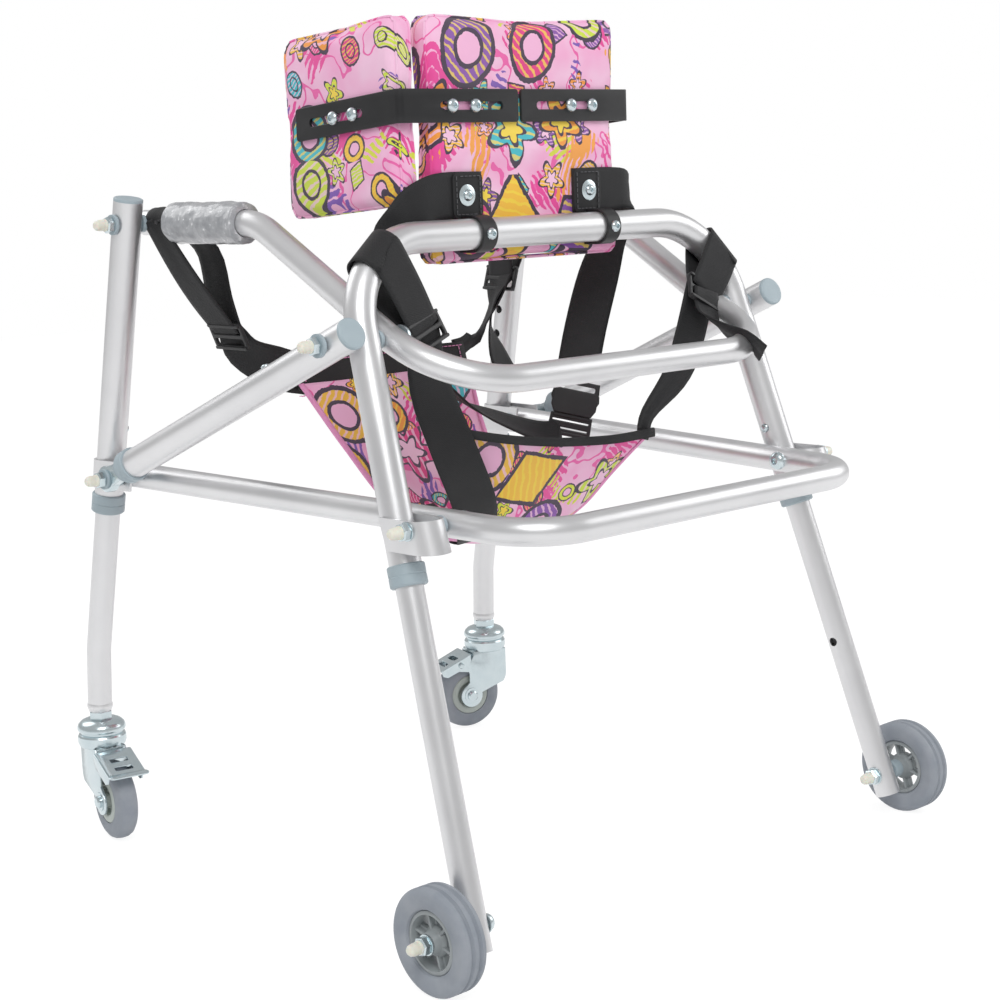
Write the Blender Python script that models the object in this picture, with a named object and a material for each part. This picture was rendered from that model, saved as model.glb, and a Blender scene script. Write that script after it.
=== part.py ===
"""A child's folding walker: tube frame, telescoping legs and struts, casters, trunk pads and a sling seat.

Metres, +Z up, floor at z = 0, symmetric about x = 0.  The closed end with the crossbar faces -Y.
"""
import math

import bmesh
import bpy
from mathutils import Matrix, Vector

for old in list(bpy.data.objects):
    bpy.data.objects.remove(old, do_unlink=True)

# Tubes
TUBE_OD = 0.0254
TUBE_WALL = 0.0014
SLIDE_GAP = 0.0003
INNER_WALL = 0.0014
INNER_OD = TUBE_OD - 2 * TUBE_WALL - 2 * SLIDE_GAP
TUBE_SIDES = 16
GAP = 0.0003
BOND = 0.0002
BEND_STEP = math.radians(22.5)
BOLT_SIDES = 10

# A plate bent round a tube sits this far from its middle, inside the flats of the faceted tube
PLATE_SEAT = TUBE_OD / 2 * math.cos(math.pi / TUBE_SIDES) - BOND

# Front frame: a crossbar and two legs that lean forward and splay outward on the way down
CROSSBAR_Z = 0.5422
CROSSBAR_Y = 0.0191
CROSSBAR_HALF = 0.2135
CROSSBAR_BEND = 0.078
LEG_LEAN = 0.3226
LEG_SPLAY = 0.0772
FRONT_TUBE_END_Z = 0.2930
FRONT_LEG_TOP_Z = 0.3720
FRONT_LEG_END_Z = 0.0229
FRONT_BUTTON_Z = 0.3550
COLLAR_OD = 0.0295
COLLAR_LENGTH = 0.0170

# Rear posts
POST_TOP = Vector((0.2325, 0.2868, 0.5803))
POST_KNEE = Vector((0.2405, 0.3701, 0.1727))
STEM_END = Vector((0.2413, 0.3731, 0.1207))
POST_TUBE_END_Z = 0.3120
REAR_LEG_TOP_Z = 0.3960
REAR_BUTTON_Z = 0.3780
KNEE_BEND = 0.060
POST_CAP = 0.0030
HOLE_PITCH = 0.0254
HOLE_ROW = 3

# Pivots in the side view (y, z)
PIVOT_A = (0.2910, 0.5580)
PIVOT_F = (-0.0040, 0.4670)
PIVOT_G = (-0.0780, 0.3306)
PIVOT_B = (0.3000, 0.3395)
BOLT_D = 0.0080
BOLT_GAP = 0.0003
WASHER_D = 0.0175
NUT_D = 0.0140
CAP_D = 0.0098

# Handle frame
HANDLE_END = Vector((0.2055, 0.3030, 0.5583))
HANDLE_BEND_AT = Vector((0.1995, 0.1480, 0.5566))
HANDLE_AT_F = Vector((0.1920, -0.0040, 0.4670))
HANDLE_FRONT = Vector((0.1882, -0.0768, 0.4334))
HANDLE_BEND = 0.060
HANDLE_FRONT_BEND = 0.070
HANDLE_SLIGHT_BEND = 0.050
GRIP_D = 0.0360
GRIP_START_Y = 0.1490
GRIP_END_Y = 0.2640

# Lower frame
LOWER_END = Vector((0.2350, 0.3120, 0.3398))
LOWER_SIDE = Vector((0.2031, -0.04335, 0.3307))
LOWER_FRONT_Y = -0.1620
LOWER_BEND = 0.052

# Hoop plates and clevis plates
PLATE = 0.0022
PLATE_HEIGHT = 0.0250
HOOP_PLATE_Z = 0.3255
HOOP_NOSE_Y = -0.0830
CLEVIS_FRONT_Y = 0.2880

# Struts
STRUT_X_AT_F = 0.2476
STRUT_X_AT_B = 0.2616
STRUT_OVER = 0.0240
RING_FROM_B = 0.0370
RING_OD = 0.0295
RING_LENGTH = 0.0120
ROD_FROM_B = 0.2560
STRUT_BUTTON_FROM_B = 0.2460
EYE_THICK = 0.0080
EYE_D = 0.0230

# Wheels
WHEEL_D = 0.0824
WHEEL_WIDTH = 0.0230
WHEEL_X = 0.2860
WHEEL_HUB_D = 0.0580
WHEEL_SIDES = 20
CASTER_D = 0.0720
CASTER_WIDTH = 0.0200
CASTER_HUB_D = 0.0420
CASTER_TRAIL = 0.0240
CASTER_TRAIL_DIR = {"L": Vector((-0.195, -0.981, 0)), "R": Vector((-0.956, 0.294, 0))}
PEDAL_TILT = math.radians(23)
RACE_D = 0.0440
RACE_Z = (0.0900, 0.1130)
FORK_WALL = 0.0025
WHEEL_SIDE_GAP = 0.0025
AXLE_D = 0.0060

# Trunk pads
PAD_HALF = 0.1120
PAD_THICK = 0.0220
PAD_Z = (0.5155, 0.7210)
PAD_Y = 0.0344
PAD_CORNER = 0.0140
WING_DEPTH = 0.1500
WING_HEIGHT = 0.1550
WING_START_Y = {"L": 0.0360, "R": 0.0585}
WING_SLOPE = math.radians(4.6)
BRACKET_THICK = 0.0030
BRACKET_BEND = 0.0055
WING_BELOW = 0.0800
BRACKET_HEIGHT = 0.0270
BRACKET_Z = 0.6457
BRACKET_INNER_X = {"L": 0.0115, "R": -0.0080}
BRACKET_ARM = 0.1310
WING_ARM_END_Y = 0.1650
SLOT_FROM_END = (0.0180, 0.0870)
SLOT_WIDTH = 0.0066
PAD_BOLT_X = {"L": (0.0610, 0.0863), "R": (0.0500, 0.0756)}
WING_BOLT_Y = {"L": (0.0890, 0.1143), "R": (0.1125, 0.1378)}
PAD_BOLT_D = 0.0060
PAD_BOLT_HEAD = 0.0118
CLIP_X = 0.0730
CLIP_WIDTH = 0.0160
CLIP_THICK = 0.0020
RIVET_Z = 0.5735

# Webbing and sling
WEB_WIDTH = 0.0380
WEB_THICK = 0.0020
SLING_THICK = 0.0030
REAR_HEM = Vector((0.1050, 0.2350, 0.4200))
REAR_FALL = Vector((0.0890, 0.2020, 0.3620))
REAR_CROTCH = Vector((0.0710, 0.1500, 0.3000))
CROTCH = Vector((0.0660, 0.0880, 0.2730))
FRONT_CROTCH = Vector((0.0640, 0.0480, 0.2870))
FRONT_FALL = Vector((0.0840, 0.0240, 0.3260))
FRONT_HEM = Vector((0.1130, 0.0000, 0.3740))
FRONT_LOOP_FROM_MIDDLE = {"L": 0.1910, "R": 0.2150}
ADJUSTER_AT = {
    "front": {"L": Vector((-0.1500, 0.0020, 0.4680)), "R": Vector((0.1600, -0.0100, 0.4780))},
    "rear": {"L": Vector((-0.1600, 0.2510, 0.4580)), "R": Vector((0.1650, 0.2620, 0.4620))},
}
FRONT_STRAP_SHARE = {"L": 0.8, "R": 0.5}
FRONT_STRAP_GAP = {"L": 0.0010, "R": -0.0001}
REAR_STRAP_GAP = {"L": 0.0031, "R": 0.0023}
FRONT_FOOT = {"L": Vector((-0.1080, 0.0000, 0.3777)), "R": Vector((0.1080, 0.0000, 0.3778))}
BELT_WIDTH = 0.0220
BELT_Y = PAD_Y - GAP - WEB_THICK / 2
BUCKLE_AT = Vector((0.0880, 0.0760, 0.3780))
BUCKLE_HALF = Vector((0.0200, 0.0055, 0.0240))
UPRIGHT = Vector((0, 0, 1))

# The waist belt from its rivet round the pad to the buckle: route points with the webbing's cross direction
BELT_ROUTE = {
    "R": [(Vector((0.0610, BELT_Y, RIVET_Z)), UPRIGHT), (Vector((0.0980, BELT_Y, RIVET_Z)), UPRIGHT),
          (Vector((0.1160, BELT_Y, 0.5725)), UPRIGHT), (Vector((0.1300, 0.0400, 0.5640)), Vector((0, 0.3, 1))),
          (Vector((0.1350, 0.0530, 0.5470)), Vector((0, 1, 0.7))), (Vector((0.1310, 0.0660, 0.5260)), Vector((0.2, 1, 0.3))),
          (Vector((0.1230, 0.0740, 0.4950)), Vector((0.8, 1, 0))), (Vector((0.1080, 0.0770, 0.4500)), Vector((1, 0.3, 0))),
          (Vector((0.0920, 0.0760, 0.4060)), Vector((1, 0, 0)))],
    "L": [(Vector((-0.0610, BELT_Y, RIVET_Z)), UPRIGHT), (Vector((-0.0980, BELT_Y, RIVET_Z)), UPRIGHT),
          (Vector((-0.1180, BELT_Y, 0.5670)), UPRIGHT), (Vector((-0.1300, 0.0365, 0.5585)), UPRIGHT),
          (Vector((-0.1410, 0.0400, 0.5480)), UPRIGHT), (Vector((-0.1470, 0.0470, 0.5360)), Vector((0, 0.3, 1))),
          (Vector((-0.1450, 0.0570, 0.5210)), Vector((0, 1, 0.7))), (Vector((-0.1350, 0.0680, 0.5030)), Vector((-0.2, 1, 0.3))),
          (Vector((-0.1160, 0.0760, 0.4750)), Vector((0.5, 1, 0))), (Vector((-0.0900, 0.0790, 0.4370)), Vector((0.2, 1, 0.1))),
          (Vector((-0.0450, 0.0790, 0.3980)), Vector((0, 1, 0.3))), (Vector((0.0050, 0.0780, 0.3760)), Vector((0, 1, 0.6))),
          (Vector((0.0500, 0.0765, 0.3660)), Vector((0, 0.8, 0.8))), (Vector((0.0655, 0.0760, 0.3645)), Vector((0, 0.5, 1)))],
}

# Spring buttons
BUTTON_D = 0.0078
BUTTON_PROUD = 0.0020

SIDES = {"L": -1, "R": 1}


def material(name, colour, roughness, metallic=0.0):
    made = bpy.data.materials.new(name)
    made.use_nodes = True
    shader = made.node_tree.nodes["Principled BSDF"]
    shader.inputs["Base Color"].default_value = (*colour, 1)
    shader.inputs["Roughness"].default_value = roughness
    shader.inputs["Metallic"].default_value = metallic
    return made


SILVER = material("silver_tube", (0.62, 0.63, 0.64), 0.35, 0.8)
PLATED = material("zinc_plate", (0.60, 0.61, 0.62), 0.3, 0.9)
BLACK_PLASTIC = material("black_plastic", (0.02, 0.02, 0.022), 0.45)
BLACK_METAL = material("black_metal", (0.02, 0.02, 0.02), 0.5, 0.3)
FOAM = material("grip_foam", (0.03, 0.03, 0.032), 0.8)
WEBBING = material("webbing", (0.02, 0.02, 0.022), 0.9)
PRINT = material("printed_fabric", (0.95, 0.45, 0.72), 0.85)
TYRE = material("tyre_grey", (0.33, 0.37, 0.42), 0.7)
HUB = material("hub_grey", (0.55, 0.57, 0.58), 0.5)


def rounded_path(corners, radii):
    """The corners joined by straight runs, with an arc of the given radius at each inner corner."""
    path = [corners[0]]
    for i in range(1, len(corners) - 1):
        at = corners[i]
        back = (corners[i - 1] - at).normalized()
        ahead = (corners[i + 1] - at).normalized()
        half = back.angle(ahead) / 2
        radius = radii[i - 1]
        centre = at + (back + ahead).normalized() * (radius / math.sin(half))
        start = at + back * (radius / math.tan(half)) - centre
        turn = math.pi - 2 * half
        axis = start.cross(at + ahead * (radius / math.tan(half)) - centre).normalized()
        steps = max(1, round(turn / BEND_STEP))
        for k in range(steps + 1):
            path.append(centre + Matrix.Rotation(turn * k / steps, 3, axis) @ start)
    path.append(corners[-1])
    return path


def stretch(path, start, length):
    """The part of a path from a distance along it, over a length."""
    picked = []
    done = 0.0
    for a, b in zip(path, path[1:]):
        step = (b - a).length
        for mark in (start, start + length):
            if done <= mark < done + step:
                picked.append((mark, a.lerp(b, (mark - done) / step)))
        if start < done + step < start + length:
            picked.append((done + step, b))
        done += step
    return [p for _, p in sorted(picked, key=lambda item: item[0])]


def rings_to_solid(bm, rings, closed_loop=False):
    """Joins rings of equal size into one closed body with capped or joined ends."""
    verts = [[bm.verts.new(p) for p in ring] for ring in rings]
    count = len(verts[0])
    faces = []
    last = len(verts) if closed_loop else len(verts) - 1
    for i in range(last):
        a, b = verts[i], verts[(i + 1) % len(verts)]
        for k in range(count):
            m = (k + 1) % count
            faces.append(bm.faces.new((a[k], a[m], b[m], b[k])))
    if not closed_loop:
        faces.append(bm.faces.new(list(reversed(verts[0]))))
        faces.append(bm.faces.new(verts[-1]))
    bmesh.ops.recalc_face_normals(bm, faces=faces)
    return faces


def frames_along(path, up):
    """A pair of cross directions at each point of a path, turned as little as possible."""
    out = []
    side = None
    for i, p in enumerate(path):
        ahead = (path[min(i + 1, len(path) - 1)] - path[max(i - 1, 0)]).normalized()
        side = up.cross(ahead) if side is None else side - ahead * side.dot(ahead)
        side.normalize()
        out.append((side.copy(), ahead.cross(side).normalized()))
    return out


def tube(bm, path, outer, bore=0.0, sides=TUBE_SIDES, up=Vector((0, 0, 1))):
    """A round bar or an open tube along a path."""
    frames = frames_along(path, up)
    radii = [outer / 2]
    if bore:
        radii.append(bore / 2)
    turns = [2 * math.pi * k / sides for k in range(sides)]
    layers = [
        [[p + (u * math.cos(t) + v * math.sin(t)) * radius for t in turns] for p, (u, v) in zip(path, frames)]
        for radius in radii
    ]
    if not bore:
        rings_to_solid(bm, layers[0])
        return
    rings_to_solid(bm, layers[0] + list(reversed(layers[1])), closed_loop=True)


def turned(bm, origin, axis, profile, sides=TUBE_SIDES):
    """A closed profile of (radius, height) pairs turned about an axis; a radius of zero is a tip."""
    axis = axis.normalized()
    side = axis.orthogonal().normalized()
    other = axis.cross(side)
    rings = []
    for k in range(sides):
        t = 2 * math.pi * k / sides
        out = side * math.cos(t) + other * math.sin(t)
        rings.append([origin + out * r + axis * h for r, h in profile])
    start = len(bm.verts)
    faces = rings_to_solid(bm, rings, closed_loop=True)
    bm.verts.ensure_lookup_table()
    if min(r for r, h in profile) == 0:
        bmesh.ops.remove_doubles(bm, verts=bm.verts[start:], dist=1e-7)
        faces = [f for f in faces if f.is_valid]
        bmesh.ops.recalc_face_normals(bm, faces=faces)


def disc(bm, origin, axis, diameter, height, sides=TUBE_SIDES, bore=0.0, chamfer=0.0):
    """A round disc, washer or bolt head from its seat plane outward along the axis."""
    r = diameter / 2
    profile = [(bore / 2, 0), (r, 0), (r, height - chamfer)]
    if chamfer:
        profile.append((r - chamfer, height))
    profile.append((bore / 2, height))
    turned(bm, origin, axis, profile, sides)


def box(bm, low, high):
    xs, ys, zs = zip(low, high)
    ring = [(xs[0], ys[0]), (xs[1], ys[0]), (xs[1], ys[1]), (xs[0], ys[1])]
    rings_to_solid(bm, [[Vector((x, y, z)) for x, y in ring] for z in zs])


def sheet_plate(bm, loops, place, thickness):
    """A flat plate from an outline and its holes; place maps (u, v, height) to the model."""
    start = len(bm.faces)
    edges = []
    for loop in loops:
        verts = [bm.verts.new(place(u, v, 0.0)) for u, v in loop]
        edges += [bm.edges.new((verts[i], verts[(i + 1) % len(verts)])) for i in range(len(verts))]
    filled = bmesh.ops.triangle_fill(bm, use_beauty=True, use_dissolve=False, edges=edges)
    flat = [g for g in filled["geom"] if isinstance(g, bmesh.types.BMFace)]
    lift = place(0.0, 0.0, thickness) - place(0.0, 0.0, 0.0)
    raised = bmesh.ops.extrude_face_region(bm, geom=flat, use_keep_orig=True)["geom"]
    bmesh.ops.translate(bm, vec=lift, verts=[g for g in raised if isinstance(g, bmesh.types.BMVert)])
    bm.faces.ensure_lookup_table()
    bmesh.ops.recalc_face_normals(bm, faces=bm.faces[start:])


def ribbon(bm, path, across, width, thickness):
    """A flat strip along a path, its width along the given directions."""
    rings = []
    for i, p in enumerate(path):
        ahead = (path[min(i + 1, len(path) - 1)] - path[max(i - 1, 0)]).normalized()
        side = across[i] if isinstance(across, list) else across
        side = (side - ahead * side.dot(ahead)).normalized() * (width[i] if isinstance(width, list) else width) / 2
        out = ahead.cross(side).normalized() * thickness / 2
        rings.append([p - side - out, p + side - out, p + side + out, p - side + out])
    rings_to_solid(bm, rings)


def rounded_rectangle(low_u, low_v, high_u, high_v, radius, count=5):
    """A rectangle with round corners, counter-clockwise."""
    loop = []
    for u, v, start in ((high_u, low_v, -90), (high_u, high_v, 0), (low_u, high_v, 90), (low_u, low_v, 180)):
        cu = u - radius if u == high_u else u + radius
        cv = v - radius if v == high_v else v + radius
        for k in range(count + 1):
            t = math.radians(start + 90 * k / count)
            loop.append((cu + radius * math.cos(t), cv + radius * math.sin(t)))
    return loop


def empty(name, at, parent=None):
    made = bpy.data.objects.new(name, None)
    bpy.context.scene.collection.objects.link(made)
    made.parent = parent
    made.location = at - (parent.matrix_world.translation if parent else Vector())
    bpy.context.view_layer.update()
    return made


def make(name, bm, look, parent):
    """An object from world-space geometry, with its origin on its parent empty."""
    mesh = bpy.data.meshes.new(name)
    bm.to_mesh(mesh)
    bm.free()
    mesh.transform(Matrix.Translation(-parent.matrix_world.translation))
    mesh.materials.append(look)
    mesh.shade_smooth()
    mesh.set_sharp_from_angle(angle=math.radians(35))
    made = bpy.data.objects.new(name, mesh)
    bpy.context.scene.collection.objects.link(made)
    made.parent = parent
    return made


def boolean(target, bm, name, operation, overlapping):
    """Joins closed shapes to an object, or cuts them out of it; the shapes may overlap each other."""
    mesh = bpy.data.meshes.new(name)
    bm.to_mesh(mesh)
    bm.free()
    helper = bpy.data.objects.new(name, mesh)
    bpy.context.scene.collection.objects.link(helper)
    helper.hide_render = True
    helper.display_type = "WIRE"
    modifier = target.modifiers.new(name, "BOOLEAN")
    modifier.operation = operation
    modifier.solver = "EXACT"
    modifier.use_self = overlapping
    modifier.object = helper


def cut(target, bm, name):
    boolean(target, bm, name, "DIFFERENCE", False)


def join(target, bm, name):
    boolean(target, bm, name, "UNION", False)


def mirrored(point, sign):
    return Vector((point.x * sign, point.y, point.z))


def leg_point(sign, z):
    """A point on the axis of a front leg at a height."""
    drop = CROSSBAR_Z - z
    return Vector((sign * (CROSSBAR_HALF + drop * LEG_SPLAY), CROSSBAR_Y - drop * LEG_LEAN, z))


def post_point(sign, z):
    """A point on the axis of a rear post at a height."""
    return mirrored(POST_TOP.lerp(POST_KNEE, (POST_TOP.z - z) / (POST_TOP.z - POST_KNEE.z)), sign)


def strut_point(sign, from_b):
    """A point on the axis of a strut at a distance from its rear pivot."""
    b = Vector((sign * STRUT_X_AT_B, *PIVOT_B))
    f = Vector((sign * STRUT_X_AT_F, *PIVOT_F))
    return b + (f - b).normalized() * from_b


STRUT_LENGTH = (Vector((STRUT_X_AT_F, *PIVOT_F)) - Vector((STRUT_X_AT_B, *PIVOT_B))).length
LEG_DOWN = (leg_point(1, 0.1) - leg_point(1, 0.5)).normalized()
POST_DOWN = (post_point(1, 0.2) - post_point(1, 0.5)).normalized()


def front_path():
    corners = [leg_point(-1, FRONT_TUBE_END_Z), leg_point(-1, CROSSBAR_Z), leg_point(1, CROSSBAR_Z),
               leg_point(1, FRONT_TUBE_END_Z)]
    return rounded_path(corners, [CROSSBAR_BEND] * 2)


def handle_path():
    half = [HANDLE_END, HANDLE_BEND_AT, HANDLE_AT_F, HANDLE_FRONT]
    corners = [mirrored(p, -1) for p in half] + list(reversed(half))
    radii = [HANDLE_BEND, HANDLE_SLIGHT_BEND, HANDLE_FRONT_BEND]
    radii += list(reversed(radii))
    return rounded_path(corners, radii)


def lower_path():
    run = (LOWER_SIDE - LOWER_END).normalized()
    front = LOWER_END + run * ((LOWER_FRONT_Y - LOWER_END.y) / run.y)
    half = [LOWER_END, front]
    corners = [mirrored(p, -1) for p in half] + list(reversed(half))
    return rounded_path(corners, [LOWER_BEND] * 2)


def drill(bm, centre, diameter, low_x, high_x):
    """A cutter along X."""
    turned(bm, Vector((low_x, *centre)), Vector((1, 0, 0)),
           [(0, 0), (diameter / 2, 0), (diameter / 2, high_x - low_x), (0, high_x - low_x)], BOLT_SIDES)


HOLE_D = BOLT_D + 2 * BOLT_GAP
HOLE_SPAN = 0.03
BUTTON_HOLE_D = BUTTON_D + 2 * GAP


def side_cut(bm, origin, out, diameter, inner, outer):
    """A cutter through one wall of a tube, from an inner to an outer distance from its axis."""
    turned(bm, origin + out * inner, out,
           [(0, 0), (diameter / 2, 0), (diameter / 2, outer - inner), (0, outer - inner)], 8)


def inboard(direction, sign):
    """The direction across a tube that faces the walker's middle."""
    across = Vector((-sign, 0, 0))
    return (across - direction * across.dot(direction)).normalized()


def button(name, parent, origin, out, look):
    """A spring button in the wall of an outer tube."""
    at = empty(name + "_slide", origin + out * TUBE_OD / 2, parent)
    bm = bmesh.new()
    inner = INNER_OD / 2 + GAP
    outer = TUBE_OD / 2 + BUTTON_PROUD
    r = BUTTON_D / 2
    turned(bm, origin, out, [(0, inner), (r, inner), (r, outer - 0.0012), (r * 0.6, outer), (0, outer)], 10)
    make(name, bm, look, at)


# Bodies
base = empty("front_body", Vector((0, 0, 0)))
fold = empty("fold_axis", Vector((0, *PIVOT_F)), base)
posts = empty("post_axis", Vector((0, *PIVOT_A)), fold)
lower = empty("lower_axis", Vector((0, *PIVOT_B)), posts)


def build_front_frame():
    bm = bmesh.new()
    tube(bm, front_path(), TUBE_OD, TUBE_OD - 2 * TUBE_WALL)
    frame = make("front_frame", bm, SILVER, base)
    collars = bmesh.new()
    plates = bmesh.new()
    bolts = bmesh.new()
    nuts = bmesh.new()
    holes = bmesh.new()
    for sign in SIDES.values():
        turned(collars, leg_point(sign, FRONT_TUBE_END_Z), LEG_DOWN_SIDE[sign], collar_profile())
        open_end = leg_point(sign, HOOP_PLATE_Z).y + 0.002
        u_plate(plates, lambda z, sign=sign: leg_point(sign, z).x, lambda z: HOOP_NOSE_Y, open_end, HOOP_PLATE_Z,
                LEG_LEAN)
        x = leg_point(sign, PIVOT_F[1]).x
        drill(holes, PIVOT_F, HOLE_D, x - HOLE_SPAN, x + HOLE_SPAN)
        hoop_bolt(bolts, nuts, sign)
        spot = leg_point(sign, FRONT_BUTTON_Z)
        side_cut(holes, spot, inboard(LEG_DOWN_SIDE[sign], sign), BUTTON_HOLE_D, INNER_OD / 2 - 0.001, TUBE_OD)
    join(frame, collars, "front_collars")
    join(frame, plates, "hoop_plates")
    join(frame, bolts, "hoop_bolts")
    join(frame, nuts, "hoop_nuts")
    cut(frame, holes, "front_frame_holes")


LEG_DOWN_SIDE = {sign: mirrored(LEG_DOWN, sign) for sign in SIDES.values()}
POST_DOWN_SIDE = {sign: mirrored(POST_DOWN, sign) for sign in SIDES.values()}


def collar_profile():
    """A collar bonded on the outer tube's end that clears the inner tube below it."""
    lip = COLLAR_LENGTH / 2
    grip = TUBE_OD / 2 - BOND
    return [(grip, -lip), (COLLAR_OD / 2, -lip), (COLLAR_OD / 2, lip), (INNER_OD / 2 + GAP, lip),
            (INNER_OD / 2 + GAP, -BOND), (grip, -BOND)]


def u_plate(bm, middle_x, round_y, open_y, middle_z, slant, splay=0.0):
    """A strip bent round a tube: a half-round end and two arms that follow the tube's lean, or splay sideways."""
    half = PLATE_SEAT
    steps = 8
    rings = []
    for end in (-1, 1):
        z = middle_z + end * PLATE_HEIGHT / 2
        x, y = middle_x(z), round_y(z)
        reach = open_y + slant * end * PLATE_HEIGHT / 2 - y
        direction = 1 if reach > 0 else -1
        ring = []
        for radius, order in ((half + PLATE, 1), (half, -1)):
            turns = [math.pi * k / steps for k in range(steps + 1)]
            arc = [(radius * math.cos(t), -direction * radius * math.sin(t)) for t in turns]
            run = [(radius + splay * reach, reach)] + arc + [(-radius + splay * reach, reach)]
            ring += run if order == 1 else list(reversed(run))
        rings.append([Vector((x + u, y + v, z)) for u, v in ring])
    rings_to_solid(bm, rings)


def hexagon(bm, centre, x, sign):
    """A hexagon nut from its seat outward."""
    turned(bm, Vector((x, *centre)), Vector((sign, 0, 0)),
           [(0, 0), (NUT_D / 2, 0), (NUT_D / 2, NUT_HEIGHT), (0, NUT_HEIGHT)], 6)


NUT_HEIGHT = 0.0065
CAP_HEIGHT = 0.0110
HEAD_HEIGHT = 0.0062


def cap_steps(start):
    """The domed cap over a bolt's end, as (radius, distance) pairs from its base outward."""
    r = CAP_D / 2
    return [(r, start), (r, start + 0.0070), (r * 0.7, start + 0.0100), (0, start + CAP_HEIGHT)]


def head_steps(start, diameter):
    """A domed bolt head, from its seat outward."""
    r = diameter / 2
    return [(r, start), (r, start + 0.0015), (r * 0.75, start + 0.0045), (r * 0.35, start + 0.0060),
            (0, start + HEAD_HEIGHT)]


def head_end(seat, diameter):
    """A domed head below its seat and the start of its shank, as (radius, distance) pairs."""
    dome = [(r, 2 * seat - h) for r, h in head_steps(seat, diameter)]
    return list(reversed(dome)) + [(BOLT_D / 2, seat)]


def flange(low, high, diameter=WASHER_D):
    """A washer on a shank, as (radius, distance) pairs."""
    r = diameter / 2
    return [(BOLT_D / 2, low), (r, low), (r, high), (BOLT_D / 2, high)]


def pivot_bolt(name, parent, centre, sign, outer, inner, washers, head):
    """A bolt along X: nut and cap at the outer seat, a domed head at the inner one, washers between.

    Distances are measured from the walker's middle.
    """
    profile = head_end(inner, head)
    for low, high, wide in sorted(washers):
        profile += flange(low, high, wide)
    cap_start = outer + NUT_HEIGHT - 0.0005
    profile += [(BOLT_D / 2, cap_start)] + cap_steps(cap_start)
    bm = bmesh.new()
    turned(bm, Vector((0, *centre)), Vector((sign, 0, 0)), profile, BOLT_SIDES)
    bolt = make(name, bm, PLATED, parent)
    nut = bmesh.new()
    hexagon(nut, centre, sign * outer, sign)
    join(bolt, nut, name + "_nut")
    return bolt


def hoop_bolt(bm, nuts, sign):
    """The bolt that joins a hoop plate's arms, with its nut and cap on the outer side."""
    x = leg_point(1, HOOP_PLATE_Z).x
    face = PLATE_SEAT + PLATE + PLATE_SPREAD
    profile = [(0, x - face + 0.0008), (BOLT_D / 2, x - face + 0.0008), (BOLT_D / 2, x + face - 0.0010),
               (0.0080, x + face - 0.0010), (0.0080, x + face + 0.0010), (CAP_D / 2, x + face + 0.0010)]
    turned(bm, Vector((0, *PIVOT_G)), Vector((sign, 0, 0)), profile + cap_steps(x + face + 0.0005 + NUT_HEIGHT),
           BOLT_SIDES)
    hexagon(nuts, PIVOT_G, sign * (x + face + 0.0005), sign)


def build_pivot_hardware():
    tube_r = TUBE_OD / 2
    leg_x = leg_point(1, PIVOT_F[1]).x
    strut_out = STRUT_X_AT_F + tube_r
    strut_in = STRUT_X_AT_F - tube_r
    handle_out = HANDLE_AT_F.x + INNER_OD / 2
    handle_in = HANDLE_AT_F.x - INNER_OD / 2
    for side, sign in SIDES.items():
        seat = strut_out + 0.0040
        washers = [(handle_out + HANDLE_SPREAD, leg_x - tube_r - SPACER_GAP, 0.0150),
                   (leg_x + tube_r + SPACER_GAP, strut_in - STRUT_SPREAD, 0.0150), (strut_out + STRUT_SPREAD, seat, WASHER_D)]
        pivot_bolt("pivot_bolt_" + side, base, PIVOT_F, sign, seat - 0.0005, handle_in - HANDLE_SPREAD, washers, 0.0200)


# The tubes splay, so their faces come this much closer at a washer's rim, and a hoop plate leans as much
SPACER_GAP = GAP + 0.0180 / 2 * LEG_SPLAY
POST_SPREAD = GAP + WASHER_D / 2 * 0.0200
HANDLE_SPREAD = GAP + 0.0160 / 2 * 0.0400
STRUT_SPREAD = GAP + WASHER_D / 2 * 0.0450
PLATE_SPREAD = 0.0160 / 2 * LEG_SPLAY + 0.0002


def build_handle_frame():
    bm = bmesh.new()
    path = handle_path()
    tube(bm, path, INNER_OD, INNER_OD - 2 * INNER_WALL)
    frame = make("handle_frame", bm, SILVER, fold)
    holes = bmesh.new()
    for sign in SIDES.values():
        drill(holes, PIVOT_F, HOLE_D, sign * HANDLE_AT_F.x - HOLE_SPAN / 2, sign * HANDLE_AT_F.x + HOLE_SPAN / 2)
        drill(holes, PIVOT_A, HOLE_D, sign * HANDLE_END.x - HOLE_SPAN / 2, sign * HANDLE_END.x + HOLE_SPAN / 2)
    cut(frame, holes, "handle_frame_holes")
    run = (HANDLE_END - HANDLE_BEND_AT).normalized()
    for side, sign in SIDES.items():
        bm = bmesh.new()
        ends = [HANDLE_BEND_AT + run * ((y - HANDLE_BEND_AT.y) / run.y) for y in (GRIP_START_Y + 0.016, GRIP_END_Y)]
        tube(bm, [mirrored(p, sign) for p in ends], GRIP_D, INNER_OD + 2 * GAP)
        make("hand_grip_" + side, bm, FOAM, fold)
    post = post_point(1, PIVOT_A[1]).x
    outer = post + TUBE_OD / 2 + POST_SPREAD
    at_a = HANDLE_END.x + run.x / run.y * (PIVOT_A[0] - HANDLE_END.y)
    seat = INNER_OD / 2 + HANDLE_SPREAD
    for side, sign in SIDES.items():
        washers = [(at_a + seat, post - TUBE_OD / 2 - POST_SPREAD, 0.0150), (outer, outer + 0.0030, WASHER_D)]
        pivot_bolt("handle_bolt_" + side, fold, PIVOT_A, sign, outer + 0.0025, at_a - seat, washers, 0.0160)


def clevis_x():
    """The lower frame's middle at its rear pivot, which is the middle of the clevis arms there."""
    return LOWER_END.x + lower_splay() * (PIVOT_B[0] - LOWER_END.y)


def lower_splay():
    return (LOWER_END.x - LOWER_SIDE.x) / (LOWER_END.y - LOWER_SIDE.y)


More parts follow.
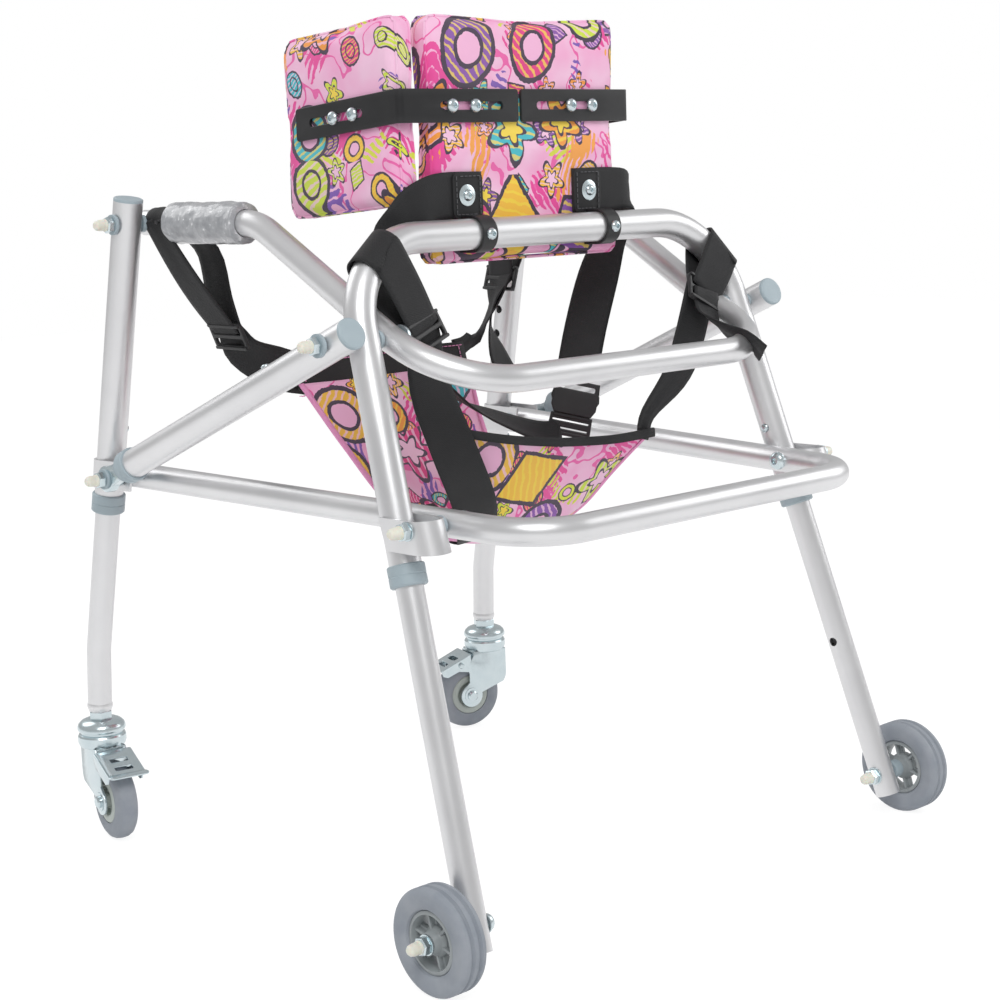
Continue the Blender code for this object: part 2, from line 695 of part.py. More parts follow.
def clevis_splay():
    post = post_point(1, PIVOT_B[1])
    return (post.x - clevis_x()) / (post.y - PIVOT_B[0])


def build_rear_posts():
    r = TUBE_OD / 2
    middle = clevis_x()
    arm_in = PLATE_SEAT
    for side, sign in SIDES.items():
        bm = bmesh.new()
        down = POST_DOWN_SIDE[sign]
        top = mirrored(POST_TOP, sign)
        tube(bm, [top + down * POST_CAP, post_point(sign, POST_TUBE_END_Z)], TUBE_OD, TUBE_OD - 2 * TUBE_WALL)
        post = make("rear_post_" + side, bm, SILVER, posts)
        ends = bmesh.new()
        turned(ends, post_point(sign, POST_TUBE_END_Z), down, collar_profile())
        plug = r - TUBE_WALL + BOND
        turned(ends, top, down, [(0, 0), (r - 0.0008, 0), (r, 0.0008), (r, POST_CAP + BOND),
                                 (plug, POST_CAP + BOND), (plug, POST_CAP + 0.006), (0, POST_CAP + 0.006)])
        join(post, ends, "post_cap_and_collar_" + side)
        clevis = bmesh.new()
        u_plate(clevis, lambda z, sign=sign: post_point(sign, z).x, lambda z: post_point(1, z).y, CLEVIS_FRONT_Y,
                PIVOT_B[1], 0.0, sign * clevis_splay())
        join(post, clevis, "clevis_plate_" + side)
        holes = bmesh.new()
        x = post_point(sign, PIVOT_A[1]).x
        drill(holes, PIVOT_A, HOLE_D, x - HOLE_SPAN / 2, x + HOLE_SPAN / 2)
        for k in range(HOLE_ROW + 1):
            spot = post_point(sign, REAR_BUTTON_Z) - down * HOLE_PITCH * k
            side_cut(holes, spot, inboard(down, sign), BUTTON_HOLE_D, INNER_OD / 2 - 0.001, TUBE_OD)
        cut(post, holes, "rear_post_holes_" + side)
        head_seat = middle - arm_in - PLATE + HEAD_SINK
        profile = head_end(head_seat, 0.0140) + [(BOLT_D / 2, middle + arm_in + PLATE / 2),
                                                 (0, middle + arm_in + PLATE / 2)]
        bolt = bmesh.new()
        turned(bolt, Vector((0, *PIVOT_B)), Vector((sign, 0, 0)), profile, BOLT_SIDES)
        join(post, bolt, "clevis_bolt_" + side)


# The clevis arms splay, so a bolt head sinks this far into one
HEAD_SINK = 0.0008


def build_lower_frame():
    bm = bmesh.new()
    tube(bm, lower_path(), INNER_OD, INNER_OD - 2 * INNER_WALL)
    frame = make("lower_frame", bm, SILVER, lower)
    holes = bmesh.new()
    at_g = LOWER_END.x + lower_splay() * (PIVOT_G[0] - LOWER_END.y)
    for sign in SIDES.values():
        drill(holes, PIVOT_B, HOLE_D, sign * clevis_x() - HOLE_SPAN / 2, sign * clevis_x() + HOLE_SPAN / 2)
        drill(holes, PIVOT_G, HOLE_D, sign * at_g - HOLE_SPAN / 2, sign * at_g + HOLE_SPAN / 2)
    cut(frame, holes, "lower_frame_holes")
    plate_in = leg_point(1, HOOP_PLATE_Z).x - PLATE_SEAT - PLATE - PLATE_SPREAD
    outer = at_g + INNER_OD / 2 + SIDE_SPREAD
    inner = at_g - INNER_OD / 2 - SIDE_SPREAD
    for side, sign in SIDES.items():
        profile = head_end(inner, 0.0160)
        profile += flange(outer, plate_in - GAP, 0.0150)[:-1] + [(0, plate_in - GAP)]
        bm = bmesh.new()
        turned(bm, Vector((0, *PIVOT_G)), Vector((sign, 0, 0)), profile, BOLT_SIDES)
        make("lower_frame_bolt_" + side, bm, PLATED, lower)


# The lower frame's sides splay, so a washer's rim stands this far off their middle
SIDE_SPREAD = GAP + 0.0160 / 2 * 0.09


def build_struts():
    for side, sign in SIDES.items():
        hinge = empty("strut_axis_" + side, Vector((sign * STRUT_X_AT_F, *PIVOT_F)), base)
        b = strut_point(sign, 0)
        up = (strut_point(sign, 0.1) - b).normalized()
        out = up.cross(Vector((1, 0, 0))).normalized()
        out = out if out.z > 0 else -out
        top = strut_point(sign, STRUT_LENGTH + STRUT_OVER - POST_CAP)
        end = strut_point(sign, RING_FROM_B)
        bm = bmesh.new()
        tube(bm, [end, top], TUBE_OD, TUBE_OD - 2 * TUBE_WALL)
        outer = make("strut_tube_" + side, bm, SILVER, hinge)
        added = bmesh.new()
        r = TUBE_OD / 2
        plug = r - TUBE_WALL + BOND
        turned(added, top + up * POST_CAP, -up, [(0, 0), (r - 0.0008, 0), (r, 0.0008), (r, POST_CAP + BOND),
                                                (plug, POST_CAP + BOND), (plug, POST_CAP + 0.005), (0, POST_CAP + 0.005)])
        lip = RING_LENGTH / 2
        turned(added, end, -up, [(r - BOND, -lip), (RING_OD / 2, -lip), (RING_OD / 2, lip - 0.002),
                                 (RING_OD / 2 - 0.0015, lip), (INNER_OD / 2 + GAP, lip), (INNER_OD / 2 + GAP, -BOND),
                                 (r - BOND, -BOND)])
        join(outer, added, "strut_cap_and_ring_" + side)
        holes = bmesh.new()
        drill(holes, PIVOT_F, HOLE_D, sign * STRUT_X_AT_F - HOLE_SPAN / 2, sign * STRUT_X_AT_F + HOLE_SPAN / 2)
        spot = strut_point(sign, STRUT_BUTTON_FROM_B)
        side_cut(holes, spot, out, BUTTON_HOLE_D, INNER_OD / 2 - 0.001, TUBE_OD)
        cut(outer, holes, "strut_tube_holes_" + side)
        button("strut_button_" + side, hinge, spot, out, PLATED)

        slide = empty("strut_slide_" + side, b, hinge)
        bm = bmesh.new()
        tube_end = RING_FROM_B - lip - 0.003
        tube(bm, [strut_point(sign, tube_end), strut_point(sign, ROD_FROM_B)], INNER_OD, INNER_OD - 2 * INNER_WALL)
        rod = make("strut_rod_" + side, bm, SILVER, slide)
        added = bmesh.new()
        plug_r = INNER_OD / 2 - INNER_WALL + BOND
        tip = tube_end - 0.0075
        turned(added, strut_point(sign, tube_end + BOND), -up,
               [(0, -0.010), (plug_r, -0.010), (plug_r, 0), (INNER_OD / 2 - 0.0003, 0), (INNER_OD / 2 - 0.0003, 0.004),
                (EYE_THICK / 2, 0.0080), (0, 0.0080)])
        inner_x = clevis_x() + PLATE_SEAT + PLATE + EYE_D / 2 * clevis_splay() + 2 * GAP
        flat_up = Vector((0, up.y, up.z)).normalized()
        across = up.cross(Vector((1, 0, 0))).normalized()

        def place(u, v, h):
            return Vector((sign * (inner_x + h), *PIVOT_B)) + flat_up * u + across * v

        arc = [(EYE_D / 2 * math.cos(t), EYE_D / 2 * math.sin(t))
               for t in [math.radians(50 + 260 * k / 12) for k in range(13)]]
        outline = arc + [(tip + 0.0020, -EYE_D / 3), (tip + 0.0020, EYE_D / 3)]
        join(rod, added, "strut_plug_" + side)
        eye = bmesh.new()
        sheet_plate(eye, [outline], place, EYE_THICK)
        join(rod, eye, "strut_eye_" + side)
        seat = inner_x + EYE_THICK
        profile = [(0, seat - 0.001), (WASHER_D / 2, seat - 0.001), (WASHER_D / 2, seat + 0.0030),
                   (CAP_D / 2, seat + 0.0030)] + cap_steps(seat + 0.0025 + NUT_HEIGHT)
        bolt = bmesh.new()
        turned(bolt, Vector((0, *PIVOT_B)), Vector((sign, 0, 0)), profile, BOLT_SIDES)
        join(rod, bolt, "strut_bolt_" + side)
        nut = bmesh.new()
        hexagon(nut, PIVOT_B, sign * (seat + 0.0025), sign)
        join(rod, nut, "strut_nut_" + side)
        holes = bmesh.new()
        side_cut(holes, spot, out, BUTTON_HOLE_D, INNER_OD / 2 - 0.003, TUBE_OD)
        cut(rod, holes, "strut_rod_hole_" + side)


def wheel_profile(outer, inner, width, groove, crown):
    """A tyre section with two grooves in its tread, as (radius, height) pairs."""
    r, h = outer / 2, width / 2
    points = [(inner / 2, -h * 0.72), (r - crown, -h), (r - crown * 0.3, -h * 0.86), (r, -h * 0.62)]
    for middle in (-h / 3, h / 3):
        points += [(r, middle - 0.0016), (r - groove, middle - 0.0010), (r - groove, middle + 0.0010),
                   (r, middle + 0.0016)]
    points += [(r, h * 0.62), (r - crown * 0.3, h * 0.86), (r - crown, h), (inner / 2, h * 0.72)]
    return points


def build_front_wheels():
    for side, sign in SIDES.items():
        spot = leg_point(sign, FRONT_BUTTON_Z)
        down = LEG_DOWN_SIDE[sign]
        slide = empty("front_leg_slide_" + side, leg_point(sign, FRONT_TUBE_END_Z), base)
        bm = bmesh.new()
        tube(bm, [leg_point(sign, FRONT_LEG_END_Z), leg_point(sign, FRONT_LEG_TOP_Z)], INNER_OD,
             INNER_OD - 2 * INNER_WALL)
        leg = make("front_leg_" + side, bm, SILVER, slide)
        axle = leg_point(sign, WHEEL_D / 2)
        centre = (axle.y, axle.z)
        holes = bmesh.new()
        drill(holes, centre, HOLE_D, axle.x - HOLE_SPAN / 2, axle.x + HOLE_SPAN / 2)
        for k in range(3):
            place = spot + down * HOLE_PITCH * k
            side_cut(holes, place, inboard(down, sign), BUTTON_HOLE_D, INNER_OD / 2 - 0.003, TUBE_OD)
        cut(leg, holes, "front_leg_holes_" + side)
        button("front_button_" + side, base, spot, inboard(down, sign), PLATED)

        wheel_in = WHEEL_X - WHEEL_WIDTH / 2
        wheel_out = WHEEL_X + WHEEL_WIDTH / 2
        leg_out = abs(axle.x) + INNER_OD / 2 * 1.003
        leg_in = abs(axle.x) - INNER_OD / 2 * 1.003
        spread = 0.0008
        outer_seat = wheel_out + GAP + 0.0016
        inner_seat = leg_in - spread
        spacer = (leg_out + spread, wheel_in - GAP, 0.0160)
        if sign < 0:
            pivot_bolt("front_axle_" + side, slide, centre, -1, outer_seat - 0.0005, inner_seat,
                                   [spacer, (wheel_out + GAP, outer_seat, 0.0160)], 0.0140)
        else:
            mirror_seat = -inner_seat
            pivot_bolt("front_axle_" + side, slide, centre, -1, mirror_seat, -outer_seat,
                                   [(-spacer[1], -spacer[0], spacer[2]), (-outer_seat, -wheel_out - GAP, 0.0160)],
                                   0.0140)

        spin = empty("front_wheel_axis_" + side, Vector((sign * WHEEL_X, *centre)), slide)
        middle = Vector((sign * WHEEL_X, *centre))
        bm = bmesh.new()
        turned(bm, middle, Vector((1, 0, 0)), wheel_profile(WHEEL_D, WHEEL_HUB_D, WHEEL_WIDTH, 0.0022, 0.0060), WHEEL_SIDES)
        make("front_tyre_" + side, bm, TYRE, spin)
        bm = bmesh.new()
        rim = WHEEL_HUB_D / 2 - GAP
        h = WHEEL_WIDTH / 2
        bore = HOLE_D / 2
        turned(bm, middle, Vector((1, 0, 0)),
               [(rim, -h * 0.72), (rim, h * 0.72), (rim - 0.0030, h * 0.72), (rim - 0.0030, 0.0030), (0.0100, 0.0030),
                (0.0085, h), (bore, h), (bore, -h), (0.0085, -h), (0.0100, -0.0030), (rim - 0.0030, -0.0030),
                (rim - 0.0030, -h * 0.72)], WHEEL_SIDES)
        hub = make("front_hub_" + side, bm, HUB, spin)
        windows = bmesh.new()
        for k in range(6):
            outline = []
            for radius, order in ((rim - 0.0042, 1), (0.0125, -1)):
                edge = 0.0034 / radius
                angles = [edge + (math.pi / 3 - 2 * edge) * j / 2 for j in range(3)]
                outline += [(radius * math.cos(t + k * math.pi / 3), radius * math.sin(t + k * math.pi / 3))
                            for t in (angles if order == 1 else reversed(angles))]
            rings_to_solid(windows, [[middle + Vector((x, u, v)) for u, v in outline] for x in (-0.006, 0.006)])
        cut(hub, windows, "front_hub_windows_" + side)


def build_casters():
    for side, sign in SIDES.items():
        down = POST_DOWN_SIDE[sign]
        knee = mirrored(POST_KNEE, sign)
        stem = mirrored(STEM_END, sign)
        slide = empty("rear_leg_slide_" + side, post_point(sign, POST_TUBE_END_Z), posts)
        bm = bmesh.new()
        tube(bm, rounded_path([post_point(sign, REAR_LEG_TOP_Z), knee, stem], [KNEE_BEND]), INNER_OD,
             INNER_OD - 2 * INNER_WALL, up=Vector((1, 0, 0)))
        leg = make("rear_leg_" + side, bm, SILVER, slide)
        holes = bmesh.new()
        spot = post_point(sign, REAR_BUTTON_Z)
        for k in range(3):
            side_cut(holes, spot + down * HOLE_PITCH * k, inboard(down, sign), BUTTON_HOLE_D, INNER_OD / 2 - 0.003,
                     TUBE_OD)
        cut(leg, holes, "rear_leg_holes_" + side)
        button("rear_button_" + side, posts, spot, inboard(down, sign), PLATED)

        trail = CASTER_TRAIL_DIR[side].normalized()
        axle = Vector((-trail.y, trail.x, 0))
        up = Vector((0, 0, 1))
        foot = Vector((stem.x, stem.y, 0))
        swivel = empty("caster_swivel_" + side, Vector((stem.x, stem.y, RACE_Z[0])), slide)
        bm = bmesh.new()
        low, high = RACE_Z
        r = RACE_D / 2
        waist = (low + high) / 2
        stem_r = 0.0078
        turned(bm, foot, up, [(0, low - 0.0075), (0.0070, low - 0.0075), (0.0070, low - 0.0020), (r - 0.0015, low - 0.0020),
                              (r, low + 0.0025), (r, waist - 0.0015), (r - 0.0018, waist), (r, waist + 0.0015),
                              (r, high - 0.0090), (r - 0.0040, high - 0.0030), (r - 0.0100, high), (0.0095, high),
                              (0.0095, stem.z - 0.0010), (stem_r, stem.z - 0.0010), (stem_r, stem.z + 0.0150),
                              (0, stem.z + 0.0150)], TUBE_SIDES)
        fork = make("caster_fork_" + side, bm, PLATED, swivel)
        bm = bmesh.new()
        half = CASTER_WIDTH / 2 + WHEEL_SIDE_GAP
        top = low - 0.0005
        axle_z = CASTER_D / 2
        arm = [(-0.0170, top), (0.0200, top), (0.0240, top - 0.0090), (0.0370, top - 0.0095), (0.0420, top - 0.0130),
               (0.0420, top - 0.0190), (0.0330, top - 0.0210)]
        boss = [(CASTER_TRAIL + 0.0090 * math.cos(t), axle_z + 0.0090 * math.sin(t))
                for t in [math.radians(10 - 200 * k / 8) for k in range(9)]]
        outline = arm + boss + [(-0.0140, top - 0.0310), (-0.0170, top - 0.0230)]
        walls = []
        for face in (-1, 1):
            def place(u, v, h, face=face):
                return foot + trail * u + axle * face * (half + h) + up * v
            wall = bmesh.new()
            sheet_plate(wall, [outline], place, FORK_WALL)
            walls.append(wall)

        def flat(u, v, h):
            return foot + trail * u + axle * v + up * (top - 0.0030 + h)
        sheet_plate(bm, [rounded_rectangle(-0.0140, -half - 0.0010, 0.0195, half + 0.0010, 0.002, 2)], flat, 0.0030)
        join(fork, bm, "fork_top_" + side)
        for number, wall in enumerate(walls):
            join(fork, wall, "fork_wall_%s_%d" % (side, number))
        bolt_r = 0.0055
        side_x = half + FORK_WALL
        bm = bmesh.new()
        turned(bm, foot + trail * CASTER_TRAIL + up * axle_z, axle,
               [(0, -side_x - 0.0040), (bolt_r - 0.0010, -side_x - 0.0040), (bolt_r, -side_x - 0.0030),
                (bolt_r, -side_x + 0.0005), (AXLE_D / 2, -side_x + 0.0005), (AXLE_D / 2, side_x - 0.0005),
                (bolt_r, side_x - 0.0005), (bolt_r, side_x + 0.0030), (bolt_r - 0.0010, side_x + 0.0040),
                (0, side_x + 0.0040)], 12)
        join(fork, bm, "fork_axle_" + side)

        hinge_u, hinge_z = 0.0360, top - 0.0130
        pin_hole = bmesh.new()
        turned(pin_hole, foot + trail * hinge_u + up * hinge_z - axle * (side_x + 0.001), axle,
               [(0, 0), (0.0021 + GAP, 0), (0.0021 + GAP, 2 * side_x + 0.002), (0, 2 * side_x + 0.002)], 10)
        cut(fork, pin_hole, "pedal_pin_holes_" + side)
        hinge = empty("pedal_axis_" + side, foot + trail * hinge_u + up * hinge_z, swivel)
        outer = side_x + GAP

        def lever(u, v, z):
            """A point of the pedal, drawn level and then tilted down about its pin."""
            far = u - hinge_u
            high = z - hinge_z
            ahead = hinge_u + far * math.cos(PEDAL_TILT) + high * math.sin(PEDAL_TILT)
            level = hinge_z - far * math.sin(PEDAL_TILT) + high * math.cos(PEDAL_TILT)
            return foot + trail * ahead + axle * v + up * level

        def lid(u, v, h):
            return lever(u, v, top - 0.0080 + h)
        bm = bmesh.new()
        sheet_plate(bm, [rounded_rectangle(0.0260, -outer - 0.0018, 0.0540, outer + 0.0018, 0.003, 3),
                         rounded_rectangle(0.0330, -0.0085, 0.0450, 0.0085, 0.002, 2)], lid, 0.0020)
        pedal = make("brake_pedal_" + side, bm, PLATED, hinge)
        ears = bmesh.new()
        for face in (-1, 1):
            def ear(u, v, h, face=face):
                return lever(u, face * (outer + h), v)
            sheet_plate(ears, [[(0.0290, top - 0.0070), (0.0270, top - 0.0180), (0.0450, top - 0.0180),
                                (0.0530, top - 0.0120), (0.0510, top - 0.0070)]], ear, 0.0018)
        join(pedal, ears, "pedal_ears_" + side)
        pin = bmesh.new()
        turned(pin, foot + trail * hinge_u + up * hinge_z - axle * (outer + 0.0010), axle,
               [(0, 0), (0.0021, 0), (0.0021, 2 * outer + 0.0020), (0, 2 * outer + 0.0020)], 8)
        join(pedal, pin, "pedal_pin_" + side)

        centre = foot + trail * CASTER_TRAIL + up * axle_z
        spin = empty("caster_wheel_axis_" + side, centre, swivel)
        bm = bmesh.new()
        turned(bm, centre, axle, wheel_profile(CASTER_D, CASTER_HUB_D, CASTER_WIDTH, 0.0014, 0.0050), WHEEL_SIDES)
        make("caster_tyre_" + side, bm, TYRE, spin)
        bm = bmesh.new()
        rim = CASTER_HUB_D / 2 - GAP
        h = CASTER_WIDTH / 2
        bore = AXLE_D / 2 + GAP
        turned(bm, centre, axle, [(bore, -h - 0.0015), (0.0065, -h - 0.0015), (0.0075, -0.0040), (rim - 0.0030, -0.0030),
                                  (rim, -h * 0.70), (rim, h * 0.70), (rim - 0.0030, 0.0030), (0.0075, 0.0040),
                                  (0.0065, h + 0.0015), (bore, h + 0.0015)], WHEEL_SIDES)
        make("caster_hub_" + side, bm, HUB, spin)


def pad_bolt_pair(name, target, parent, seats, out, grip):
    """Two bolts with a tapped plate between them inside a pad, and the pad's sockets for them."""
    deep = 0.0080
    plate = 0.0020
    r, s = PAD_BOLT_HEAD / 2, PAD_BOLT_D / 2
    bm = bmesh.new()
    plates = bmesh.new()
    sockets = bmesh.new()
    for seat in seats:
        turned(bm, seat, out, [(0, -grip - deep), (s, -grip - deep), (s, 0), (r, 0), (r, 0.0012), (r * 0.7, 0.0038),
                               (0, 0.0034)], 10)
        turned(sockets, seat, -out, [(0, grip - 0.001), (s + GAP, grip - 0.001), (s + GAP, grip + deep + GAP),
                                     (0, grip + deep + GAP)], 10)
    run = (seats[1] - seats[0]).normalized()
    across = out.cross(run)
    middle = (seats[0] + seats[1]) / 2 - out * (grip + deep - plate)
    reach = (seats[1] - seats[0]).length / 2 + 0.0050
    for shape, extra in ((plates, 0.0), (sockets, GAP)):
        rings_to_solid(shape, [[middle + run * u * (reach + extra) + across * v * (0.0050 + extra) + out * (h + e)
                                for u, v in ((-1, -1), (1, -1), (1, 1), (-1, 1))]
                               for h, e in ((-plate, -extra), (0.0, extra))])
    bolts = make(name, bm, PLATED, parent)
    join(bolts, plates, name + "_plate")
    boolean(target, sockets, name + "_sockets", "DIFFERENCE", True)


def build_pads():
    bm = bmesh.new()
    sheet_plate(bm, [rounded_rectangle(-PAD_HALF, PAD_Z[0], PAD_HALF, PAD_Z[1], PAD_CORNER)],
                lambda u, v, h: Vector((u, PAD_Y + h, v)), PAD_THICK)
    pad = make("centre_pad", bm, PRINT, base)
    front = Vector((0, -1, 0))
    grip = BRACKET_THICK + 2 * GAP
    for side, sign in SIDES.items():
        seats = [Vector((sign * x, PAD_Y - grip, BRACKET_Z)) for x in PAD_BOLT_X[side]]
        pad_bolt_pair("pad_bolts_" + side, pad, base, seats, front, grip)
    r = TUBE_OD / 2 + GAP
    reach = PAD_Y - GAP - CROSSBAR_Y
    for side, sign in SIDES.items():
        outline = []
        for radius, order in ((r + CLIP_THICK, 1), (r, -1)):
            arc = [(-radius * math.sin(t), radius * math.cos(t)) for t in [math.pi * k / 10 for k in range(11)]]
            run = [(reach, radius)] + arc + [(reach, -radius)]
            outline += run if order == 1 else list(reversed(run))
        bm = bmesh.new()
        rings_to_solid(bm, [[Vector((sign * CLIP_X + e * CLIP_WIDTH / 2, CROSSBAR_Y + u, CROSSBAR_Z + v))
                             for u, v in outline] for e in (-1, 1)])
        clip = make("pad_clip_" + side, bm, BLACK_PLASTIC, base)
        head = bmesh.new()
        disc(head, Vector((sign * CLIP_X, CROSSBAR_Y - r - CLIP_THICK + 0.0006, CROSSBAR_Z)), front, 0.0100, 0.0035,
             14, 0.0, 0.0010)
        join(clip, head, "clip_bolt_" + side)

    for side, sign in SIDES.items():
        build_side_pad(side, sign)


def build_side_pad(side, sign):
    """A slotted angle bracket with its side pad; the wing's arm slopes down rearward."""
    front_y = PAD_Y - GAP - BRACKET_THICK
    inner = BRACKET_INNER_X[side]
    shift = empty("bracket_slide_" + side, Vector((sign * inner, front_y, BRACKET_Z)), base)
    bend_x = inner + BRACKET_ARM
    slope = math.tan(WING_SLOPE)

    def sunk(y):
        return slope * max(0.0, y - front_y - BRACKET_BEND)

    lines = []
    for depth in (0.0, BRACKET_THICK):
        radius = BRACKET_BEND - depth
        line = [(inner, front_y + depth)]
        line += [(bend_x - BRACKET_BEND + radius * math.sin(t), front_y + BRACKET_BEND - radius * math.cos(t))
                 for t in [math.pi / 2 * k / 5 for k in range(6)]]
        line.append((bend_x - depth, WING_ARM_END_Y))
        lines.append(line)
    outline = lines[0] + list(reversed(lines[1]))
    half = BRACKET_HEIGHT / 2
    bm = bmesh.new()
    rings_to_solid(bm, [[Vector((sign * x, y, BRACKET_Z + end * half - sunk(y))) for x, y in outline]
                        for end in (-1, 1)])
    bracket = make("pad_bracket_" + side, bm, BLACK_METAL, shift)
    slots = bmesh.new()
    round_end = SLOT_WIDTH / 2 - 0.0001
    loop = rounded_rectangle(inner + SLOT_FROM_END[0], -SLOT_WIDTH / 2, inner + SLOT_FROM_END[1], SLOT_WIDTH / 2,
                             round_end, 4)
    rings_to_solid(slots, [[Vector((sign * u, y, BRACKET_Z + v)) for u, v in loop]
                           for y in (front_y - 0.002, front_y + BRACKET_THICK + 0.002)])
    loop = rounded_rectangle(WING_ARM_END_Y - SLOT_FROM_END[1], -SLOT_WIDTH / 2, WING_ARM_END_Y - SLOT_FROM_END[0],
                             SLOT_WIDTH / 2, round_end, 4)
    rings_to_solid(slots, [[Vector((sign * x, u, BRACKET_Z + v - sunk(u))) for u, v in loop]
                           for x in (bend_x - BRACKET_THICK - 0.002, bend_x + 0.002)])
    cut(bracket, slots, "bracket_slots_" + side)

    wing_out = bend_x - BRACKET_THICK - GAP
    start = WING_START_Y[side]
    along = empty("side_pad_slide_" + side, Vector((sign * wing_out, start, BRACKET_Z)), shift)
    low = BRACKET_Z - WING_BELOW
    loop = rounded_rectangle(start, low, start + WING_DEPTH, low + WING_HEIGHT, PAD_CORNER)
    bm = bmesh.new()
    rings_to_solid(bm, [[Vector((sign * x, u, v - slope * (u - PAD_Y))) for u, v in loop]
                        for x in (wing_out - PAD_THICK, wing_out)])
    wing = make("side_pad_" + side, bm, PRINT, along)
    seats = [Vector((sign * (bend_x + GAP), y, BRACKET_Z - sunk(y))) for y in WING_BOLT_Y[side]]
    pad_bolt_pair("side_pad_bolts_" + side, wing, along, seats, Vector((sign, 0, 0)), BRACKET_THICK + 2 * GAP)


def smooth_path(points, steps):
    """A smooth curve through the points."""
    ends = [points[0] * 2 - points[1]] + points + [points[-1] * 2 - points[-2]]
    out = []
    for a, b, c, d in zip(ends, ends[1:], ends[2:], ends[3:]):
        for k in range(steps):
            t = k / steps
            out.append(0.5 * (2 * b + (c - a) * t + (2 * a - 5 * b + 4 * c - d) * t * t
                              + (3 * b - a - 3 * c + d) * t ** 3))
    return out + [points[-1]]


def strap(name, middle, seat, hang, foot, across, width):
    """Webbing from the underside of its tube, through the place of its adjuster, down to the sling."""
    start = middle + (hang - middle).normalized() * seat
    bm = bmesh.new()
    ribbon(bm, [start, hang, foot], across, width, 2 * WEB_THICK)
    make(name, bm, WEBBING, base)


def build_soft_goods():
    hems = [REAR_HEM, REAR_FALL, REAR_CROTCH, CROTCH, FRONT_CROTCH, FRONT_FALL, FRONT_HEM]
    fine = smooth_path(hems, 3)
    bm = bmesh.new()
    ribbon(bm, [Vector((0, p.y, p.z)) for p in fine], Vector((1, 0, 0)), [2 * p.x for p in fine], SLING_THICK)
    make("sling", bm, PRINT, base)

    handle_run = (HANDLE_END - HANDLE_BEND_AT).normalized()
    for side, sign in SIDES.items():
        path = front_path() if sign < 0 else list(reversed(front_path()))
        total = sum((b - a).length for a, b in zip(path, path[1:]))
        band = stretch(path, total / 2 - FRONT_LOOP_FROM_MIDDLE[side] - WEB_WIDTH / 2, WEB_WIDTH)
        middle = sum(band, Vector()) / len(band)
        strap("front_strap_" + side, middle, TUBE_OD / 2 + FRONT_STRAP_GAP[side], ADJUSTER_AT["front"][side], FRONT_FOOT[side],
              Vector((0.9, 0.43 * sign, 0)), WEB_WIDTH * FRONT_STRAP_SHARE[side])
        middle = HANDLE_BEND_AT + handle_run * ((GRIP_END_Y + 0.0155 - HANDLE_BEND_AT.y) / handle_run.y)
        strap("rear_strap_" + side, mirrored(middle, sign), INNER_OD / 2 + REAR_STRAP_GAP[side], ADJUSTER_AT["rear"][side],
              mirrored(REAR_HEM, sign) + Vector((0, 0.003, 0.0060)), Vector((0.35 * sign, 1, 0)), WEB_WIDTH * 0.5)

    for side in SIDES:
        points, turns = zip(*BELT_ROUTE[side])
        bm = bmesh.new()
        ribbon(bm, smooth_path(list(points), 2), smooth_path(list(turns), 2), BELT_WIDTH, WEB_THICK)
        make("waist_belt_" + side, bm, WEBBING, base)
    bm = bmesh.new()
    box(bm, BUCKLE_AT - BUCKLE_HALF, BUCKLE_AT + BUCKLE_HALF)
    make("belt_buckle", bm, BLACK_PLASTIC, base)


build_front_frame()
build_pivot_hardware()
build_handle_frame()
build_rear_posts()
build_lower_frame()
build_struts()
build_front_wheels()
build_casters()
build_pads()
build_soft_goods()
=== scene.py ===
"""A child's folding walker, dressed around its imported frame."""
import math

import bmesh
import bpy
from mathutils import Matrix, Vector, bvhtree, noise


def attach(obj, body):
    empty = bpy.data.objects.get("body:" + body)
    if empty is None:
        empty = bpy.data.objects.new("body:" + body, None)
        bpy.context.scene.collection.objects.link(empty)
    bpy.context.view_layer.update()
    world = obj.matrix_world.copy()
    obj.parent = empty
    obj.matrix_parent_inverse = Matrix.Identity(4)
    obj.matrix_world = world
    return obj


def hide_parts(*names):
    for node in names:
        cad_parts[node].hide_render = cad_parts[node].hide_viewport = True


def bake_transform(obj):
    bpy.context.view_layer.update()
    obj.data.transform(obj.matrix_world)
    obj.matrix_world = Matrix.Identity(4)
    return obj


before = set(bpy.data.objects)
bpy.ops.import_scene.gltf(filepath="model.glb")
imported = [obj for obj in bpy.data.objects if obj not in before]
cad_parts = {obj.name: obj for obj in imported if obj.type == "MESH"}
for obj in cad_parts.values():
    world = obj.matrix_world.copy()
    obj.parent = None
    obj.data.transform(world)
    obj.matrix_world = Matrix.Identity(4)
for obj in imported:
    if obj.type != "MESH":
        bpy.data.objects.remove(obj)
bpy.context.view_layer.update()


# The studio: a white paper floor under a white background, one broad lamp above the near corner and two
# weaker ones. The camera stands before the closed end, about as high as the rivets that hold the belt.
CAMERA_AT = (-1.1998, -1.2012, 0.5909)
CAMERA_TURNS = (-43.06, 9.22, -1.97)
LENS = 72.57
SENSOR = 36
LAMPS = [("key", (-1.4, -1.6, 2.4), 1.6, 34.0), ("side", (1.9, -0.9, 1.3), 1.4, 10.0),
         ("rear", (-0.6, 2.0, 1.9), 1.6, 12.0)]
LAMPS_AIM = Vector((0, 0.1, 0.35))
GLOSS_SKY = 0.46
PLAIN_SKY = 0.52
FLOOR_GLOW = 0.75
GLOW_STRENGTH = 1.18


